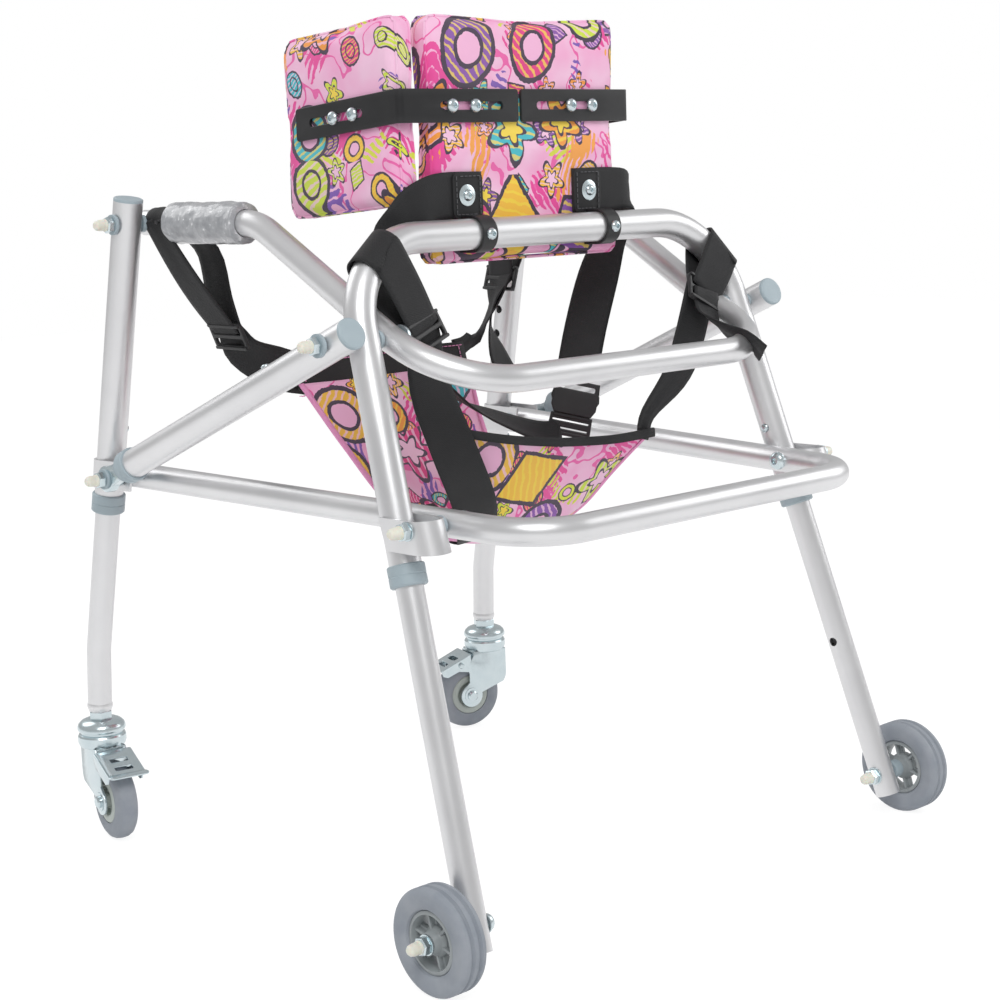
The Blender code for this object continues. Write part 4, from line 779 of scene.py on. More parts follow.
def slab(bm, outline, place, thickness, holes=(), edge=0.0006, cuts=(), warp=None):
    """A flat plate with holes: outlines in a plane, filled, thickened and softened, then placed or bent."""
    made = bmesh.new()
    for loop in (outline, *holes):
        points = [made.verts.new((u, v, 0)) for u, v in loop]
        for pair in zip(points, points[1:] + points[:1]):
            made.edges.new(pair)
    bmesh.ops.triangle_fill(made, use_beauty=True, use_dissolve=False, edges=made.edges[:])
    for cut in cuts:
        bmesh.ops.bisect_plane(made, geom=made.verts[:] + made.edges[:] + made.faces[:], dist=1e-6,
                               plane_co=(cut, 0, 0), plane_no=(1, 0, 0))
    grown = bmesh.ops.extrude_face_region(made, geom=made.faces[:], use_keep_orig=True)["geom"]
    bmesh.ops.translate(made, vec=(0, 0, thickness), verts=points_of(grown))
    bmesh.ops.recalc_face_normals(made, faces=made.faces[:])
    sharp = [e for e in made.edges if e.calc_face_angle(0) > 0.9]
    rim = [e for e in sharp if abs(e.verts[0].co.z - e.verts[1].co.z) < 1e-6]
    if edge:
        bmesh.ops.bevel(made, geom=rim, offset=edge, segments=2, profile=0.5, affect="EDGES", material=-1)
    if warp:
        for point in made.verts:
            point.co = warp(*point.co)
    bmesh.ops.transform(made, matrix=place, verts=made.verts[:])
    bmesh.ops.recalc_face_normals(made, faces=made.faces[:])
    mesh = bpy.data.meshes.new("slab")
    made.to_mesh(mesh)
    made.free()
    bm.from_mesh(mesh)
    bpy.data.meshes.remove(mesh)


def set_out(origin, u, v, out):
    """A place whose own X, Y and Z run in three given directions."""
    return Matrix.Translation(origin) @ Matrix((u, v, out)).transposed().to_4x4()


def axes(origin, u, v):
    """A place for a slab: where its own X and Y run, with its thickness along their cross product."""
    u = u.normalized()
    v = (v - u * v.dot(u)).normalized()
    return set_out(origin, u, v, u.cross(v))


def rounded(low_u, low_v, high_u, high_v, radius, count=6):
    """A rectangle with round corners."""
    loop = []
    for u, v, start in ((high_u, low_v, -90), (high_u, high_v, 0), (low_u, high_v, 90), (low_u, low_v, 180)):
        cu = u - radius if u == high_u else u + radius
        cv = v - radius if v == high_v else v + radius
        for k in range(count + 1):
            t = math.radians(start + 90 * k / count)
            loop.append((cu + radius * math.cos(t), cv + radius * math.sin(t)))
    return loop


def arc(middle_u, middle_v, radius, start, stop, count):
    """Points round a circle between two angles in degrees."""
    turns = [math.radians(start + (stop - start) * k / count) for k in range(count + 1)]
    return [(middle_u + radius * math.cos(t), middle_v + radius * math.sin(t)) for t in turns]


def spring_button(name, body, centre, out, node):
    """A steel pin that a spring inside the tube pushes through the wall."""
    bm = bmesh.new()
    top = TUBE_OD / 2 + 0.002
    lathe(bm, centre, out, [(0, 0.0113), (BUTTON_R, 0.0113), (BUTTON_R, top - 0.0012),
                            (BUTTON_R * 0.86, top - 0.0005), (BUTTON_R * 0.5, top), (0, top + 0.0001)], 24)
    piece(name, bm, ZINC, body, [node])


def build_struts():
    length = (STRUT_F - STRUT_B).length
    for side, sign in SIDES.items():
        up = (strut_point(sign, 0.1) - strut_point(sign, 0)).normalized()
        above = up.cross(X).normalized()
        above = above if above.z > 0 else -above
        kit = Kit()
        end = strut_point(sign, 0.037)
        top = strut_point(sign, length + 0.024)
        bent_tube(kit.tube, [end, top - up * 0.003], [], TUBE_OD, TUBE_BORE)
        end_cap(kit.plastic, top, -up)
        collar(kit.plastic, end, -up, 0.006)
        tube = kit.finish("strut_tube_" + side, "strut_upper_" + side, ["strut_tube_" + side])["tube"]
        spot = strut_point(sign, STRUT_BUTTON)
        drill(tube, OUTER_HOLE, [(spot, above)])
        spring_button("strut_pin_" + side, "strut_lock_" + side, spot, above, "strut_button_" + side)

        kit = Kit()
        foot = 0.028
        bent_tube(kit.tube, [strut_point(sign, foot), strut_point(sign, 0.256)], [], INNER_OD, INNER_BORE)
        plug_shape = [(0, -0.01), (0.0095, -0.01), (0.0095, 0), (0.0109, 0), (0.0109, 0.003),
                      (0.0098, 0.004), (0, 0.004)]
        lathe(kit.plastic, strut_point(sign, foot), -up, plug_shape)
        middle = post_point(sign, PIVOT_B.z)
        splay = (abs(middle.x) - CLEVIS_X) / (middle.y - PIVOT_B.y)
        arm = CLEVIS_X + TUBE_OD / 2 + STRAP_WALL + EYE_D / 2 * splay + 0.0006
        inner = STRUT_B.x - 0.004
        tip = foot - 0.002
        outline = arc(0, 0, EYE_D / 2, 50, 310, 28) + [(tip, -EYE_D / 3), (tip, EYE_D / 3)]
        flat_up = Vector((0, up.y, up.z)).normalized()
        place = axes(Vector((sign * inner, PIVOT_B.y, PIVOT_B.z)), flat_up, X.cross(flat_up) * sign)
        slab(kit.zinc, outline, place, EYE_THICK)
        seat = inner + EYE_THICK
        out = X * sign
        washer(kit.plastic, PIVOT_B, out, arm, inner, 0.015)
        washer(kit.plastic, PIVOT_B, out, seat, seat + 0.0026, 0.0175)
        nut(kit.zinc, PIVOT_B, out, seat + 0.0025)
        dome_cap(kit.cap, PIVOT_B, out, seat + 0.0088)
        shank(kit.zinc, PIVOT_B, out, arm - 0.0004, seat + 0.0088)
        rod = kit.finish("strut_rod_" + side, "strut_lower_" + side, ["strut_rod_" + side])["tube"]
        drill(rod, 0.009, [(spot, above)])


build_struts()


# The front legs: inner tubes with a row of button holes that telescope in the front frame, an axle bolt with
# washers on both sides, and a wheel with a grooved soft tyre on a spoked plastic hub.
WHEEL_X = 0.286
WHEEL_Z = 0.0412
WHEEL_HALF = 0.0115
RIM_R = 0.0242
SPOKES = 6
INNER_HOLE = 0.008


def soft_tyre():
    """Blue-grey thermoplastic rubber, matt, with a cloudy tone."""
    look = Finish("grey_tyre", (0.31, 0.34, 0.385), 0.6)
    cloud = look.noise(55.0, 4.0)
    grain = look.noise(900.0, 2.0)
    look.put("Base Color", look.mix(cloud.fade(0.3, 0.7), (0.275, 0.305, 0.35), (0.345, 0.37, 0.41)))
    look.put("Roughness", 0.5 + grain * 0.25)
    look.bump(grain, 0.00015, 0.5)
    return look.material


def hub_plastic(name, dark, light):
    """The wheels' hubs: grey moulded plastic with a green cast."""
    look = Finish(name, dark, 0.4)
    cloud = look.noise(70.0, 3.0)
    grain = look.noise(800.0, 2.0)
    look.put("Base Color", look.mix(cloud, dark, light))
    look.put("Roughness", 0.33 + grain * 0.2)
    look.bump(grain, 0.0001, 0.35)
    return look.material


TYRE = soft_tyre()
HUB = hub_plastic("hub_plastic", (0.27, 0.295, 0.305), (0.37, 0.4, 0.41))
PALE_HUB = hub_plastic("pale_hub_plastic", (0.44, 0.49, 0.455), (0.56, 0.61, 0.575))


def tyre_profile(outer, inner, width, groove):
    """A tyre's section with round shoulders and two round grooves in its tread."""
    r, h = outer / 2, width / 2
    crown = arc(0, 0, 1.0, -90, -8, 7)
    deep = 0.0058
    shoulder = [(r - deep + deep * u, -h * 0.62 + h * 0.38 * v) for u, v in crown]
    tread = []
    for middle in (-h / 3, h / 3):
        tread += [(r, middle - 0.0019), (r - groove * 0.55, middle - 0.0012), (r - groove, middle),
                  (r - groove * 0.55, middle + 0.0012), (r, middle + 0.0019)]
    side = [(inner / 2, -h * 0.7), (inner / 2 + 0.001, -h * 0.86), (inner / 2 + 0.0022, -h * 0.92)]
    lip = [(u, -v) for u, v in reversed(side)]
    return side + shoulder + tread + [(u, -v) for u, v in reversed(shoulder)] + lip


def caster_profile(outer, inner, half):
    """A round shouldered solid tyre."""
    side = [(inner, 0.92), (inner + 0.003, 0.97), (outer - 0.0085, 1.0), (outer - 0.0045, 0.9),
            (outer - 0.0018, 0.7), (outer - 0.0004, 0.42), (outer, 0.1)]
    return [(r, -h * half) for r, h in side] + [(r, h * half) for r, h in side[::-1]]


def front_hub(side, middle):
    """A wheel's hub: a rim, a waisted boss, and spokes, each a flat bar with a tall rib along its middle."""
    hub = bmesh.new()
    h = WHEEL_HALF
    rim = [(RIM_R, -h * 0.72), (RIM_R, h * 0.72), (RIM_R - 0.003, h * 0.78), (RIM_R - 0.0042, 0.002),
           (RIM_R - 0.0042, -0.002), (RIM_R - 0.003, -h * 0.78)]
    lathe(hub, middle, X, softened(rim, 0.0004), 96)
    boss = [(0.0043, -h), (0.008, -h), (0.0095, -0.006), (0.012, -0.003), (0.012, 0.003), (0.0095, 0.006),
            (0.008, h), (0.0043, h)]
    lathe(hub, middle, X, softened(boss, 0.0004))
    for k in range(SPOKES):
        turn = math.radians(360 // SPOKES * k + 14)
        ahead = Vector((0, math.cos(turn), math.sin(turn)))
        aside = X.cross(ahead)
        for width, depth in ((0.0066, 0.0036), (0.0022, 0.011)):
            bar = rounded(0.009, -width / 2, RIM_R - 0.002, width / 2, width * 0.2, 2)
            slab(hub, bar, axes(middle - X * depth / 2, ahead, aside), depth, edge=0.0004)
    name = "front_hub_" + side
    piece(name + "_plastic", hub, HUB, "front_wheel_" + side, [name])


def build_front_legs():
    for side, sign in SIDES.items():
        kit = Kit()
        down = leg_down(sign)
        inward = inboard(down, sign)
        bent_tube(kit.tube, [leg_point(sign, 0.0229), leg_point(sign, 0.372)], [], INNER_OD, INNER_BORE)
        leg = kit.finish("front_leg_" + side, "front_leg_" + side, ["front_leg_" + side])["tube"]
        spot = leg_point(sign, FRONT_BUTTON_Z)
        drill(leg, INNER_HOLE, [(spot + down * HOLE_PITCH * k, inward) for k in (0, 1, 2, 8)])
        spring_button("front_pin_" + side, "front_lock_" + side, spot, inward, "front_button_" + side)

        kit = Kit()
        axle = leg_point(sign, WHEEL_Z)
        centre = Vector((0, axle.y, axle.z))
        out = X * sign
        leg_in = abs(axle.x) - INNER_OD / 2 - 0.0008
        wheel_in, wheel_out = WHEEL_X - WHEEL_HALF, WHEEL_X + WHEEL_HALF
        shank(kit.zinc, centre, out, leg_in, wheel_out + 0.006)
        washer(kit.zinc, centre, out, leg_in - 0.0004, leg_in + 0.001, 0.016)
        washer(kit.plastic, centre, out, abs(axle.x) + INNER_OD / 2 + 0.0006, wheel_in - 0.0003, 0.016)
        washer(kit.zinc, centre, out, wheel_out + 0.0003, wheel_out + 0.0017, 0.016)
        nut_side, head_side = (1, -1) if sign < 0 else (-1, 1)
        seats = {1: wheel_out + 0.0016, -1: -(leg_in - 0.0003)}
        nut(kit.zinc, centre, out * nut_side, seats[nut_side])
        dome_cap(kit.cap, centre, out * nut_side, seats[nut_side] + 0.0062)
        dome_head(kit.zinc, centre, out * head_side, seats[head_side], 0.014, HEAD_TALL)
        kit.finish("front_axle_" + side, "front_leg_" + side, ["front_axle_" + side])

        middle = Vector((sign * WHEEL_X, axle.y, axle.z))
        tyre = bmesh.new()
        lathe(tyre, middle, X, tyre_profile(0.0824, 0.049, 0.023, 0.0022), 96)
        name = "front_tyre_" + side
        piece(name + "_rubber", tyre, TYRE, "front_wheel_" + side, [name])
        front_hub(side, middle)


build_front_legs()


# The rear legs bend upright at the bottom, where each is crimped on the stem of a swivel caster: a pressed
# zinc fork under a double ball race, a foot brake with two pressed windows, and a wheel on a pale hub.
STEM = Vector((0.2413, 0.3731, 0.1207))
KNEE_BEND = 0.06
CASTER_TRAIL = {"L": Vector((-0.195, -0.981, 0)), "R": Vector((-0.956, 0.294, 0))}
CASTER_Z = 0.036
CASTER_REACH = 0.024
CASTER_HALF = 0.01
RACE_LOW = 0.0842
RACE_HIGH = 0.1082
RACE_R = 0.022
FORK_GAP = 0.0025
FORK_WALL = 0.0025
FORK_HALF = CASTER_HALF + FORK_GAP
FORK_TOP = RACE_LOW - 0.0005
FORK_FACE = FORK_HALF + FORK_WALL
PEDAL_TILT = math.radians(23)
PEDAL_WALL = 0.0018


def build_rear_legs():
    for side, sign in SIDES.items():
        down = post_down(sign)
        inward = inboard(down, sign)
        name = "rear_leg_" + side
        kit = Kit()
        knee = mirrored(KNEE, sign)
        foot = mirrored(STEM, sign)
        bent_tube(kit.tube, [post_point(sign, 0.396), knee, foot], [KNEE_BEND], INNER_OD, INNER_BORE)
        way = (foot - knee).normalized()
        lathe(kit.zinc, foot, way, [(0.0078, -0.015), (0.0095, -0.015), (0.0095, 0.0), (0.0078, 0.0)])
        r = INNER_OD / 2
        crimp = [(r - 0.0012, -0.002), (r, -0.002), (r + 0.0007, 0.0002), (r + 0.0005, 0.0022),
                 (r - 0.0014, 0.007), (0.0092, 0.008), (0.008, 0.008), (0.008, -0.002)]
        lathe(kit.strip, foot, way, crimp)
        leg = kit.finish(name, name, [name])["tube"]
        spot = post_point(sign, REAR_BUTTON_Z)
        drill(leg, INNER_HOLE, [(spot + down * HOLE_PITCH * k, inward) for k in (0, 1, 2)])
        spring_button("rear_pin_" + side, "rear_lock_" + side, spot, inward, "rear_button_" + side)
        build_caster(side, foot)


def build_caster(side, stem):
    """A swivel caster under a stem's lower end, its wheel trailing to one side."""
    trail = CASTER_TRAIL[side].normalized()
    axle = Vector((-trail.y, trail.x, 0))
    foot = Vector((stem.x, stem.y, 0))
    centre = foot + trail * CASTER_REACH + Z * CASTER_Z
    caster_fork(side, stem, foot, trail, axle, centre)
    brake_pedal(side, foot, trail, axle)
    tyre = bmesh.new()
    lathe(tyre, centre, axle, caster_profile(0.036, 0.021, CASTER_HALF), 96)
    wheel = "caster_wheel_" + side
    piece("caster_tyre_%s_rubber" % side, tyre, TYRE, wheel, ["caster_tyre_" + side])
    hub = bmesh.new()
    half = [(0.0033, 0.0115), (0.0065, 0.0115), (0.007, 0.004), (0.0125, 0.0036), (0.0132, 0.0088),
            (0.015, 0.0098), (0.0195, 0.0094), (0.0207, 0.0086)]
    lathe(hub, centre, axle, softened([(r, -h) for r, h in half] + half[::-1], 0.0003), 72)
    piece("caster_hub_%s_plastic" % side, hub, PALE_HUB, wheel, ["caster_hub_" + side])


def caster_fork(side, stem, foot, trail, axle, centre):
    """The ball race under a hexagonal neck, a pressed plate and two cheeks, and the axle's riveted ends."""
    low, high, r = RACE_LOW, RACE_HIGH, RACE_R
    race = [(0, low - 0.0075), (0.006, low - 0.0075), (0.007, low - 0.0062), (0.007, low - 0.002),
            (r - 0.003, low - 0.002), (r - 0.0012, low - 0.001), (r, low + 0.0025), (r, low + 0.008),
            (r - 0.001, low + 0.0096), (r - 0.0026, low + 0.0106), (r - 0.0026, low + 0.012),
            (r - 0.0008, low + 0.0128), (r, low + 0.0142), (r, low + 0.0164), (r - 0.0012, low + 0.0192),
            (r - 0.004, low + 0.0218), (r - 0.008, low + 0.0234), (0.0108, high), (0.0095, high + 0.0002),
            (0.0095, stem.z - 0.001), (0.0078, stem.z - 0.0008), (0.0074, stem.z + 0.015),
            (0, stem.z + 0.015)]
    kit = Kit()
    lathe(kit.zinc, foot, Z, race)
    turns = [math.radians(60 * k) for k in range(6)]
    neck = [(0.0112 * math.cos(t), 0.0112 * math.sin(t)) for t in turns]
    slab(kit.zinc, neck, Matrix.Translation(foot + Z * (high - 0.0006)), 0.0074)
    top = FORK_TOP
    bracket = [(-0.0175, top), (0.019, top), (0.0215, top - 0.005), (0.024, top - 0.0092),
               (0.037, top - 0.0095), (0.042, top - 0.013), (0.042, top - 0.019), (0.027, top - 0.0215),
               (0.0262, top - 0.0235), (0.0262, CASTER_Z + 0.0145)]
    boss = arc(CASTER_REACH, CASTER_Z, 0.0125, 60, -190, 26)
    back = arc(-0.0145 + 0.014, top - 0.026, 0.017, 218, 180, 6)
    for face in (-1, 1):
        shift = 0 if face > 0 else -FORK_WALL
        place = set_out(foot + axle * (face * FORK_HALF + shift), trail, Z, axle)
        slab(kit.zinc, bracket + boss + back, place, FORK_WALL, edge=0.0005)
    plate = rounded(-0.015, -FORK_HALF - 0.0022, 0.0205, FORK_HALF + 0.0022, 0.003, 4)
    slab(kit.zinc, plate, axes(foot + Z * (top - 0.003), trail, axle), 0.003)
    face_x = FORK_FACE
    rivet = [(0, face_x), (0.0086, face_x), (0.0086, face_x + 0.0009), (0.0056, face_x + 0.001),
             (0.0056, face_x + 0.0026), (0.004, face_x + 0.004), (0, face_x + 0.0042)]
    for face in (-1, 1):
        lathe(kit.zinc, centre, axle * face, rivet, 24)
    shank(kit.zinc, centre, axle, -face_x, face_x, 0.003, 20)
    kit.finish("caster_fork_" + side, "caster_" + side, ["caster_fork_" + side])


def brake_pedal(side, foot, trail, axle):
    """The foot brake: a lid with two windows and a lip to tread on, and an ear on each side round its pin."""
    pedal = bmesh.new()
    outer = FORK_FACE + 0.0003
    ahead = trail * math.cos(PEDAL_TILT) - Z * math.sin(PEDAL_TILT)
    above = trail * math.sin(PEDAL_TILT) + Z * math.cos(PEDAL_TILT)
    hinge = foot + trail * 0.036 + Z * (FORK_TOP - 0.013)
    windows = [rounded(start, -0.0085, start + 0.0062, 0.0085, 0.0012, 3) for start in (-0.003, 0.0095)]
    lid = rounded(-0.015, -outer - 0.0018, 0.023, outer + 0.0018, 0.0015, 3)
    slab(pedal, lid, axes(hinge + above * 0.005, ahead, axle), 0.0016, windows, 0.0004)
    lip = rounded(0.0, -outer - 0.0036, 0.009, outer + 0.0036, 0.004, 4)
    lip_place = axes(hinge + ahead * 0.021 + above * 0.0052, ahead + Z * 0.3, axle)
    slab(pedal, lip, lip_place, PEDAL_WALL, edge=0.0006)
    ear = [(-0.015, 0.006), (-0.013, -0.001), (-0.006, -0.0052), (0.019, -0.0045), (0.0228, -0.001),
           (0.0228, 0.006)]
    for face in (-1, 1):
        shift = 0 if face > 0 else -PEDAL_WALL
        place = set_out(hinge + axle * (face * outer + shift), ahead, above, ahead.cross(above))
        slab(pedal, ear, place, PEDAL_WALL, edge=0.0005)
    lathe(pedal, hinge, axle, [(0, -outer - 0.003), (0.0022, -outer - 0.0028), (0.003, -outer - 0.0016),
                               (0.003, outer + 0.0016), (0.0022, outer + 0.0028), (0, outer + 0.003)], 20)
    piece("brake_pedal_%s_plate" % side, pedal, ZINC, "pedal_" + side, ["brake_pedal_" + side])


build_rear_legs()


# The trunk pads: boxed foam covers in a printed fabric, one behind the crossbar and one on each side. The
# covers are piped along both rims, and swell a little between the steel strips that press on them.
PAD_THICK = 0.022
PAD_Y = 0.0344
PAD_LOW_Z = 0.5155
PAD_HIGH_Z = 0.721
STRIP_Z = 0.6457
WING_SLOPE = math.tan(math.radians(4.6))
WING_START = {"L": 0.036, "R": 0.0585}
STRIP_INNER = {"L": 0.0115, "R": -0.008}
STRIP_ARM = 0.131
STRIP_THICK = 0.003
STRIP_GAP = 0.0003
RIVET_Z = 0.5735
PAD_INSET = 0.0015
PAD_CORNER = 0.013
PUFF = 0.005
VOXEL = 0.0042
INK = (0.035, 0.02, 0.05)
PINK = (0.97, 0.6, 0.8)
PALETTE = [(0.93, 0.33, 0.03), (0.66, 0.8, 0.05), (0.03, 0.52, 0.6), (0.8, 0.03, 0.24), (0.26, 0.08, 0.42),
           (0.95, 0.55, 0.04)]


def printed(name, flat):
    """Pink cotton printed with felt-pen flowers, rings, dots and diamonds, in two sizes over loose scribbles.

    flat gives the cloth's two directions in metres.
    """
    look = Finish(name, (0.9, 0.4, 0.7), 0.72, Sheen_Weight=0.15, Sheen_Roughness=0.5)
    along, across = flat(look)
    paper = look.node("CombineXYZ", X=along, Y=across)
    wander = look.noise(75.0, 3.0, at=paper)
    jitter = look.noise(260.0, 2.0, at=paper)
    blush = look.noise(26.0, 2.0, at=paper)
    ground = look.mix(blush.fade(0.35, 0.65), (0.95, 0.42, 0.68), PINK)
    curl = look.noise(21.0, 2.0, 0.55, at=paper)
    ground = look.mix((curl - 0.47).size() < 0.006 + jitter * 0.01, ground, (0.88, 0.12, 0.42))
    scribbles = ((0.0, 0.8, 0.6, 0.57, (0.86, 0.06, 0.34)), (0.31, -0.5, 0.86, 0.62, (0.72, 0.76, 0.05)),
                 (0.57, 0.96, -0.25, 0.63, (0.96, 0.38, 0.05)), (0.83, 0.3, 0.95, 0.66, (0.22, 0.1, 0.48)))
    for shift, lean_u, lean_v, least, ink in scribbles:
        patch = look.noise(19.0, 1.0, at=look.node("CombineXYZ", X=along + shift, Y=across - shift))
        strokes = ((along * lean_u + across * lean_v + wander * 0.01) * 1000.0).sine()
        ground = look.mix((patch > least) * (strokes > (0.3 - (patch - least) * 12.0)), ground, ink)
    for cell, largest, seed in ((0.038, 0.0165, 3.1), (0.072, 0.039, 0.0)):
        ground = motifs(look, ground, along + seed, across + seed * 0.7, cell, largest, wander, jitter)
    fade = look.noise(9.0, 2.0)
    look.put("Base Color", look.mix(fade.fade(0.2, 0.9) * 0.1, ground, (0.98, 0.8, 0.9)))
    threads = plain_weave(along, across)
    look.put("Roughness", 0.62 + jitter * 0.18)
    folds = look.noise(38.0, 3.0)
    look.bump(threads * 0.16 + folds, 0.0011, 0.55)
    return look.material


def motifs(look, ground, along, across, cell, largest, wander, jitter):
    """One size of motif: a shape, a colour and a turn drawn by lot in every cell of a loose grid."""
    paper = look.node("CombineXYZ", X=along, Y=across)
    settings = {"voronoi_dimensions": "2D"}
    drawn = {"Vector": paper, "Scale": 1.0 / cell, "Randomness": 0.55}
    lot = look.split(look.node("TexVoronoi", settings, "Color", **drawn))
    middle = look.split(look.node("TexVoronoi", settings, "Position", **drawn))
    u = along - middle[0] + (wander - 0.5) * 0.0045
    v = across - middle[1] + (jitter - 0.5) * 0.002
    turn = u.maths("ARCTAN2", v) + lot[1] * 6.28
    reach = (u * u + v * v).power(0.5) / (largest * 0.62 + lot[2] * (largest * 0.38))
    petals = 0.76 + (turn * 5.0).cosine() * 0.24
    diamond = 0.8 / (turn.cosine().size() + turn.sine().size() * 0.72)
    which = lot[0]
    flower = which < 0.42
    gem = (which > 0.42) * (which < 0.6)
    round_one = which > 0.6
    edge = petals * flower + diamond * gem + round_one * 0.8
    near = reach / edge
    inside = near < 1.0
    hue = lot[2]
    colour = PALETTE[0]
    for number, paint in enumerate(PALETTE[1:], 1):
        colour = look.mix(hue > number / len(PALETTE), colour, paint)
    second = look.mix(lot[1] > 0.5, (0.97, 0.72, 0.05), PINK)
    hatch = ((u * lot[0].maths("SUBTRACT", 0.2) + v + wander * 0.006) * (2.6 / largest * 12.0)).sine() > 0.45
    core = near < 0.46
    hollow = round_one * (near < 0.52) * (which > 0.8)
    paint = look.mix(hatch * 0.75, colour, second)
    paint = look.mix(core * flower, paint, second)
    paint = look.mix(hollow, paint, (0.95, 0.5, 0.74))
    shown = inside * (lot[1] > 0.06)
    ground = look.mix(shown, ground, paint)
    pen = 0.045 + jitter * 0.07
    inner = (near - 0.5).size() * (flower + round_one) + (1.0 - flower - round_one)
    rim = ((near - 0.99).size() < pen).most(inner < pen * 0.8)
    return look.mix(rim * (lot[1] > 0.06), ground, INK)


def plain_weave(along, across):
    """Fine crossing threads."""
    return ((along * 5200.0).sine() * (across * 5200.0).sine()).fade(-1.0, 1.0)


def front_flat(look):
    """The print runs over a pad that faces along Y, and on round its sides."""
    x, y, z = look.split(look.place())
    return x + y, z + y


def side_flat(look):
    """The print runs over a pad that faces along X, and on round its sides."""
    x, y, z = look.split(look.place())
    return y + x + 0.31, z + x + 0.17


def cord_shape(bm, path, radius):
    """A thin round cord along a closed path, made from a curve."""
    curve = bpy.data.curves.new("cord", "CURVE")
    curve.dimensions = "3D"
    curve.bevel_depth = radius
    curve.bevel_resolution = 2
    line = curve.splines.new("POLY")
    line.points.add(len(path) - 1)
    for point, at in zip(line.points, path):
        point.co = (*at, 1)
    line.use_cyclic_u = True
    shape = bpy.data.objects.new("cord", curve)
    bpy.context.scene.collection.objects.link(shape)
    mesh = bpy.data.meshes.new_from_object(shape.evaluated_get(bpy.context.evaluated_depsgraph_get()))
    bm.from_mesh(mesh)
    bpy.data.objects.remove(shape)
    bpy.data.meshes.remove(mesh)


def pad_piping(cover, box, width, height):
    """The two cords round a pad: each follows the rim of its cover, wherever that has swollen to."""
    smooth = bmesh.new()
    smooth.from_mesh(cover)
    tree = bvhtree.BVHTree.FromBMesh(smooth)
    piping = bmesh.new()
    for level in (0.0012, PAD_THICK - 0.0022):
        loop = []
        for u, v in rounded(*box, 8):
            spot = Vector((u, v, level))
            if loop and (spot - loop[-1]).length > 0.006:
                last = loop[-1]
                count = int((spot - last).length / 0.004)
                loop += [last.lerp(spot, k / count) for k in range(1, count)]
            loop.append(spot)
        edge = []
        for spot in loop:
            out = Vector((spot.x - width / 2, spot.y - height / 2, 0)).normalized()
            near = tree.find_nearest(spot + out * 0.004)[0]
            edge.append(near + out * 0.0001)
        cord_shape(piping, edge, 0.0011)
    smooth.free()
    return piping


def cushion(name, width, height, place, shear, pressed, look, body, node):
    """A boxed pad: its form is remeshed, inflated as cloth and held back where something presses on it.

    Its own X runs along its width, its Y up and its Z away from the steel strip.
    """
    box = (PAD_INSET, PAD_INSET, width - PAD_INSET, height - PAD_INSET, PAD_CORNER)
    bm = bmesh.new()
    slab(bm, rounded(*box), Matrix.Translation((0, 0, 0.0008)), PAD_THICK - 0.0036, edge=0.0028)
    mesh = bpy.data.meshes.new(name)
    bm.to_mesh(mesh)
    bm.free()
    pad = bpy.data.objects.new(name, mesh)
    scene = bpy.context.scene
    scene.collection.objects.link(pad)
    grid = pad.modifiers.new("even", "REMESH")
    grid.mode = "VOXEL"
    grid.voxel_size = VOXEL
    pad.data = bpy.data.meshes.new_from_object(pad.evaluated_get(bpy.context.evaluated_depsgraph_get()))
    pad.modifiers.clear()
    start = [point.co.copy() for point in pad.data.vertices]
    swollen = start
    cloth = pad.modifiers.new("air", "CLOTH")
    cloth.settings.use_pressure = True
    cloth.settings.uniform_pressure_force = 4
    cloth.settings.effector_weights.gravity = 0
    for number in range(1, 21):
        scene.frame_set(number)
    blown = pad.evaluated_get(bpy.context.evaluated_depsgraph_get()).to_mesh()
    swollen = [point.co.copy() for point in blown.vertices]
    pad.modifiers.clear()
    for point, old, new in zip(pad.data.vertices, start, swollen):
        move = new - old
        move.x *= 0.3
        move.y *= 0.3
        if move.length > PUFF:
            move *= PUFF / move.length
        at = old + move
        at.x = min(max(at.x, -PAD_INSET), width + PAD_INSET)
        at.y = min(max(at.y, -PAD_INSET), height + PAD_INSET)
        clear = min(max(0.0, abs(at.y - low) - 0.017) / 0.022 for low in pressed)
        at.z = max(at.z, -0.0026 * min(1.0, clear))
        at.z = min(at.z, PAD_THICK + 0.003)
        point.co = at
    piping = pad_piping(pad.data, box, width, height)
    sheared = Matrix(((1, 0, 0, 0), (-shear, 1, 0, 0), (0, 0, 1, 0), (0, 0, 0, 1)))
    pad.data.transform(place @ sheared)
    bmesh.ops.transform(piping, matrix=place @ sheared, verts=piping.verts[:])
    if place.determinant() < 0:
        pad.data.flip_normals()
        bmesh.ops.reverse_faces(piping, faces=piping.faces[:])
    pad.data.shade_smooth()
    pad.data.materials.clear()
    pad.data.materials.append(look)
    soft = pad.modifiers.new("soft", "SUBSURF")
    soft.levels = 1
    soft.render_levels = 1
    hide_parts(node)
    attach(pad, body)
    piece(name + "_piping", piping, look, body, edge=180)


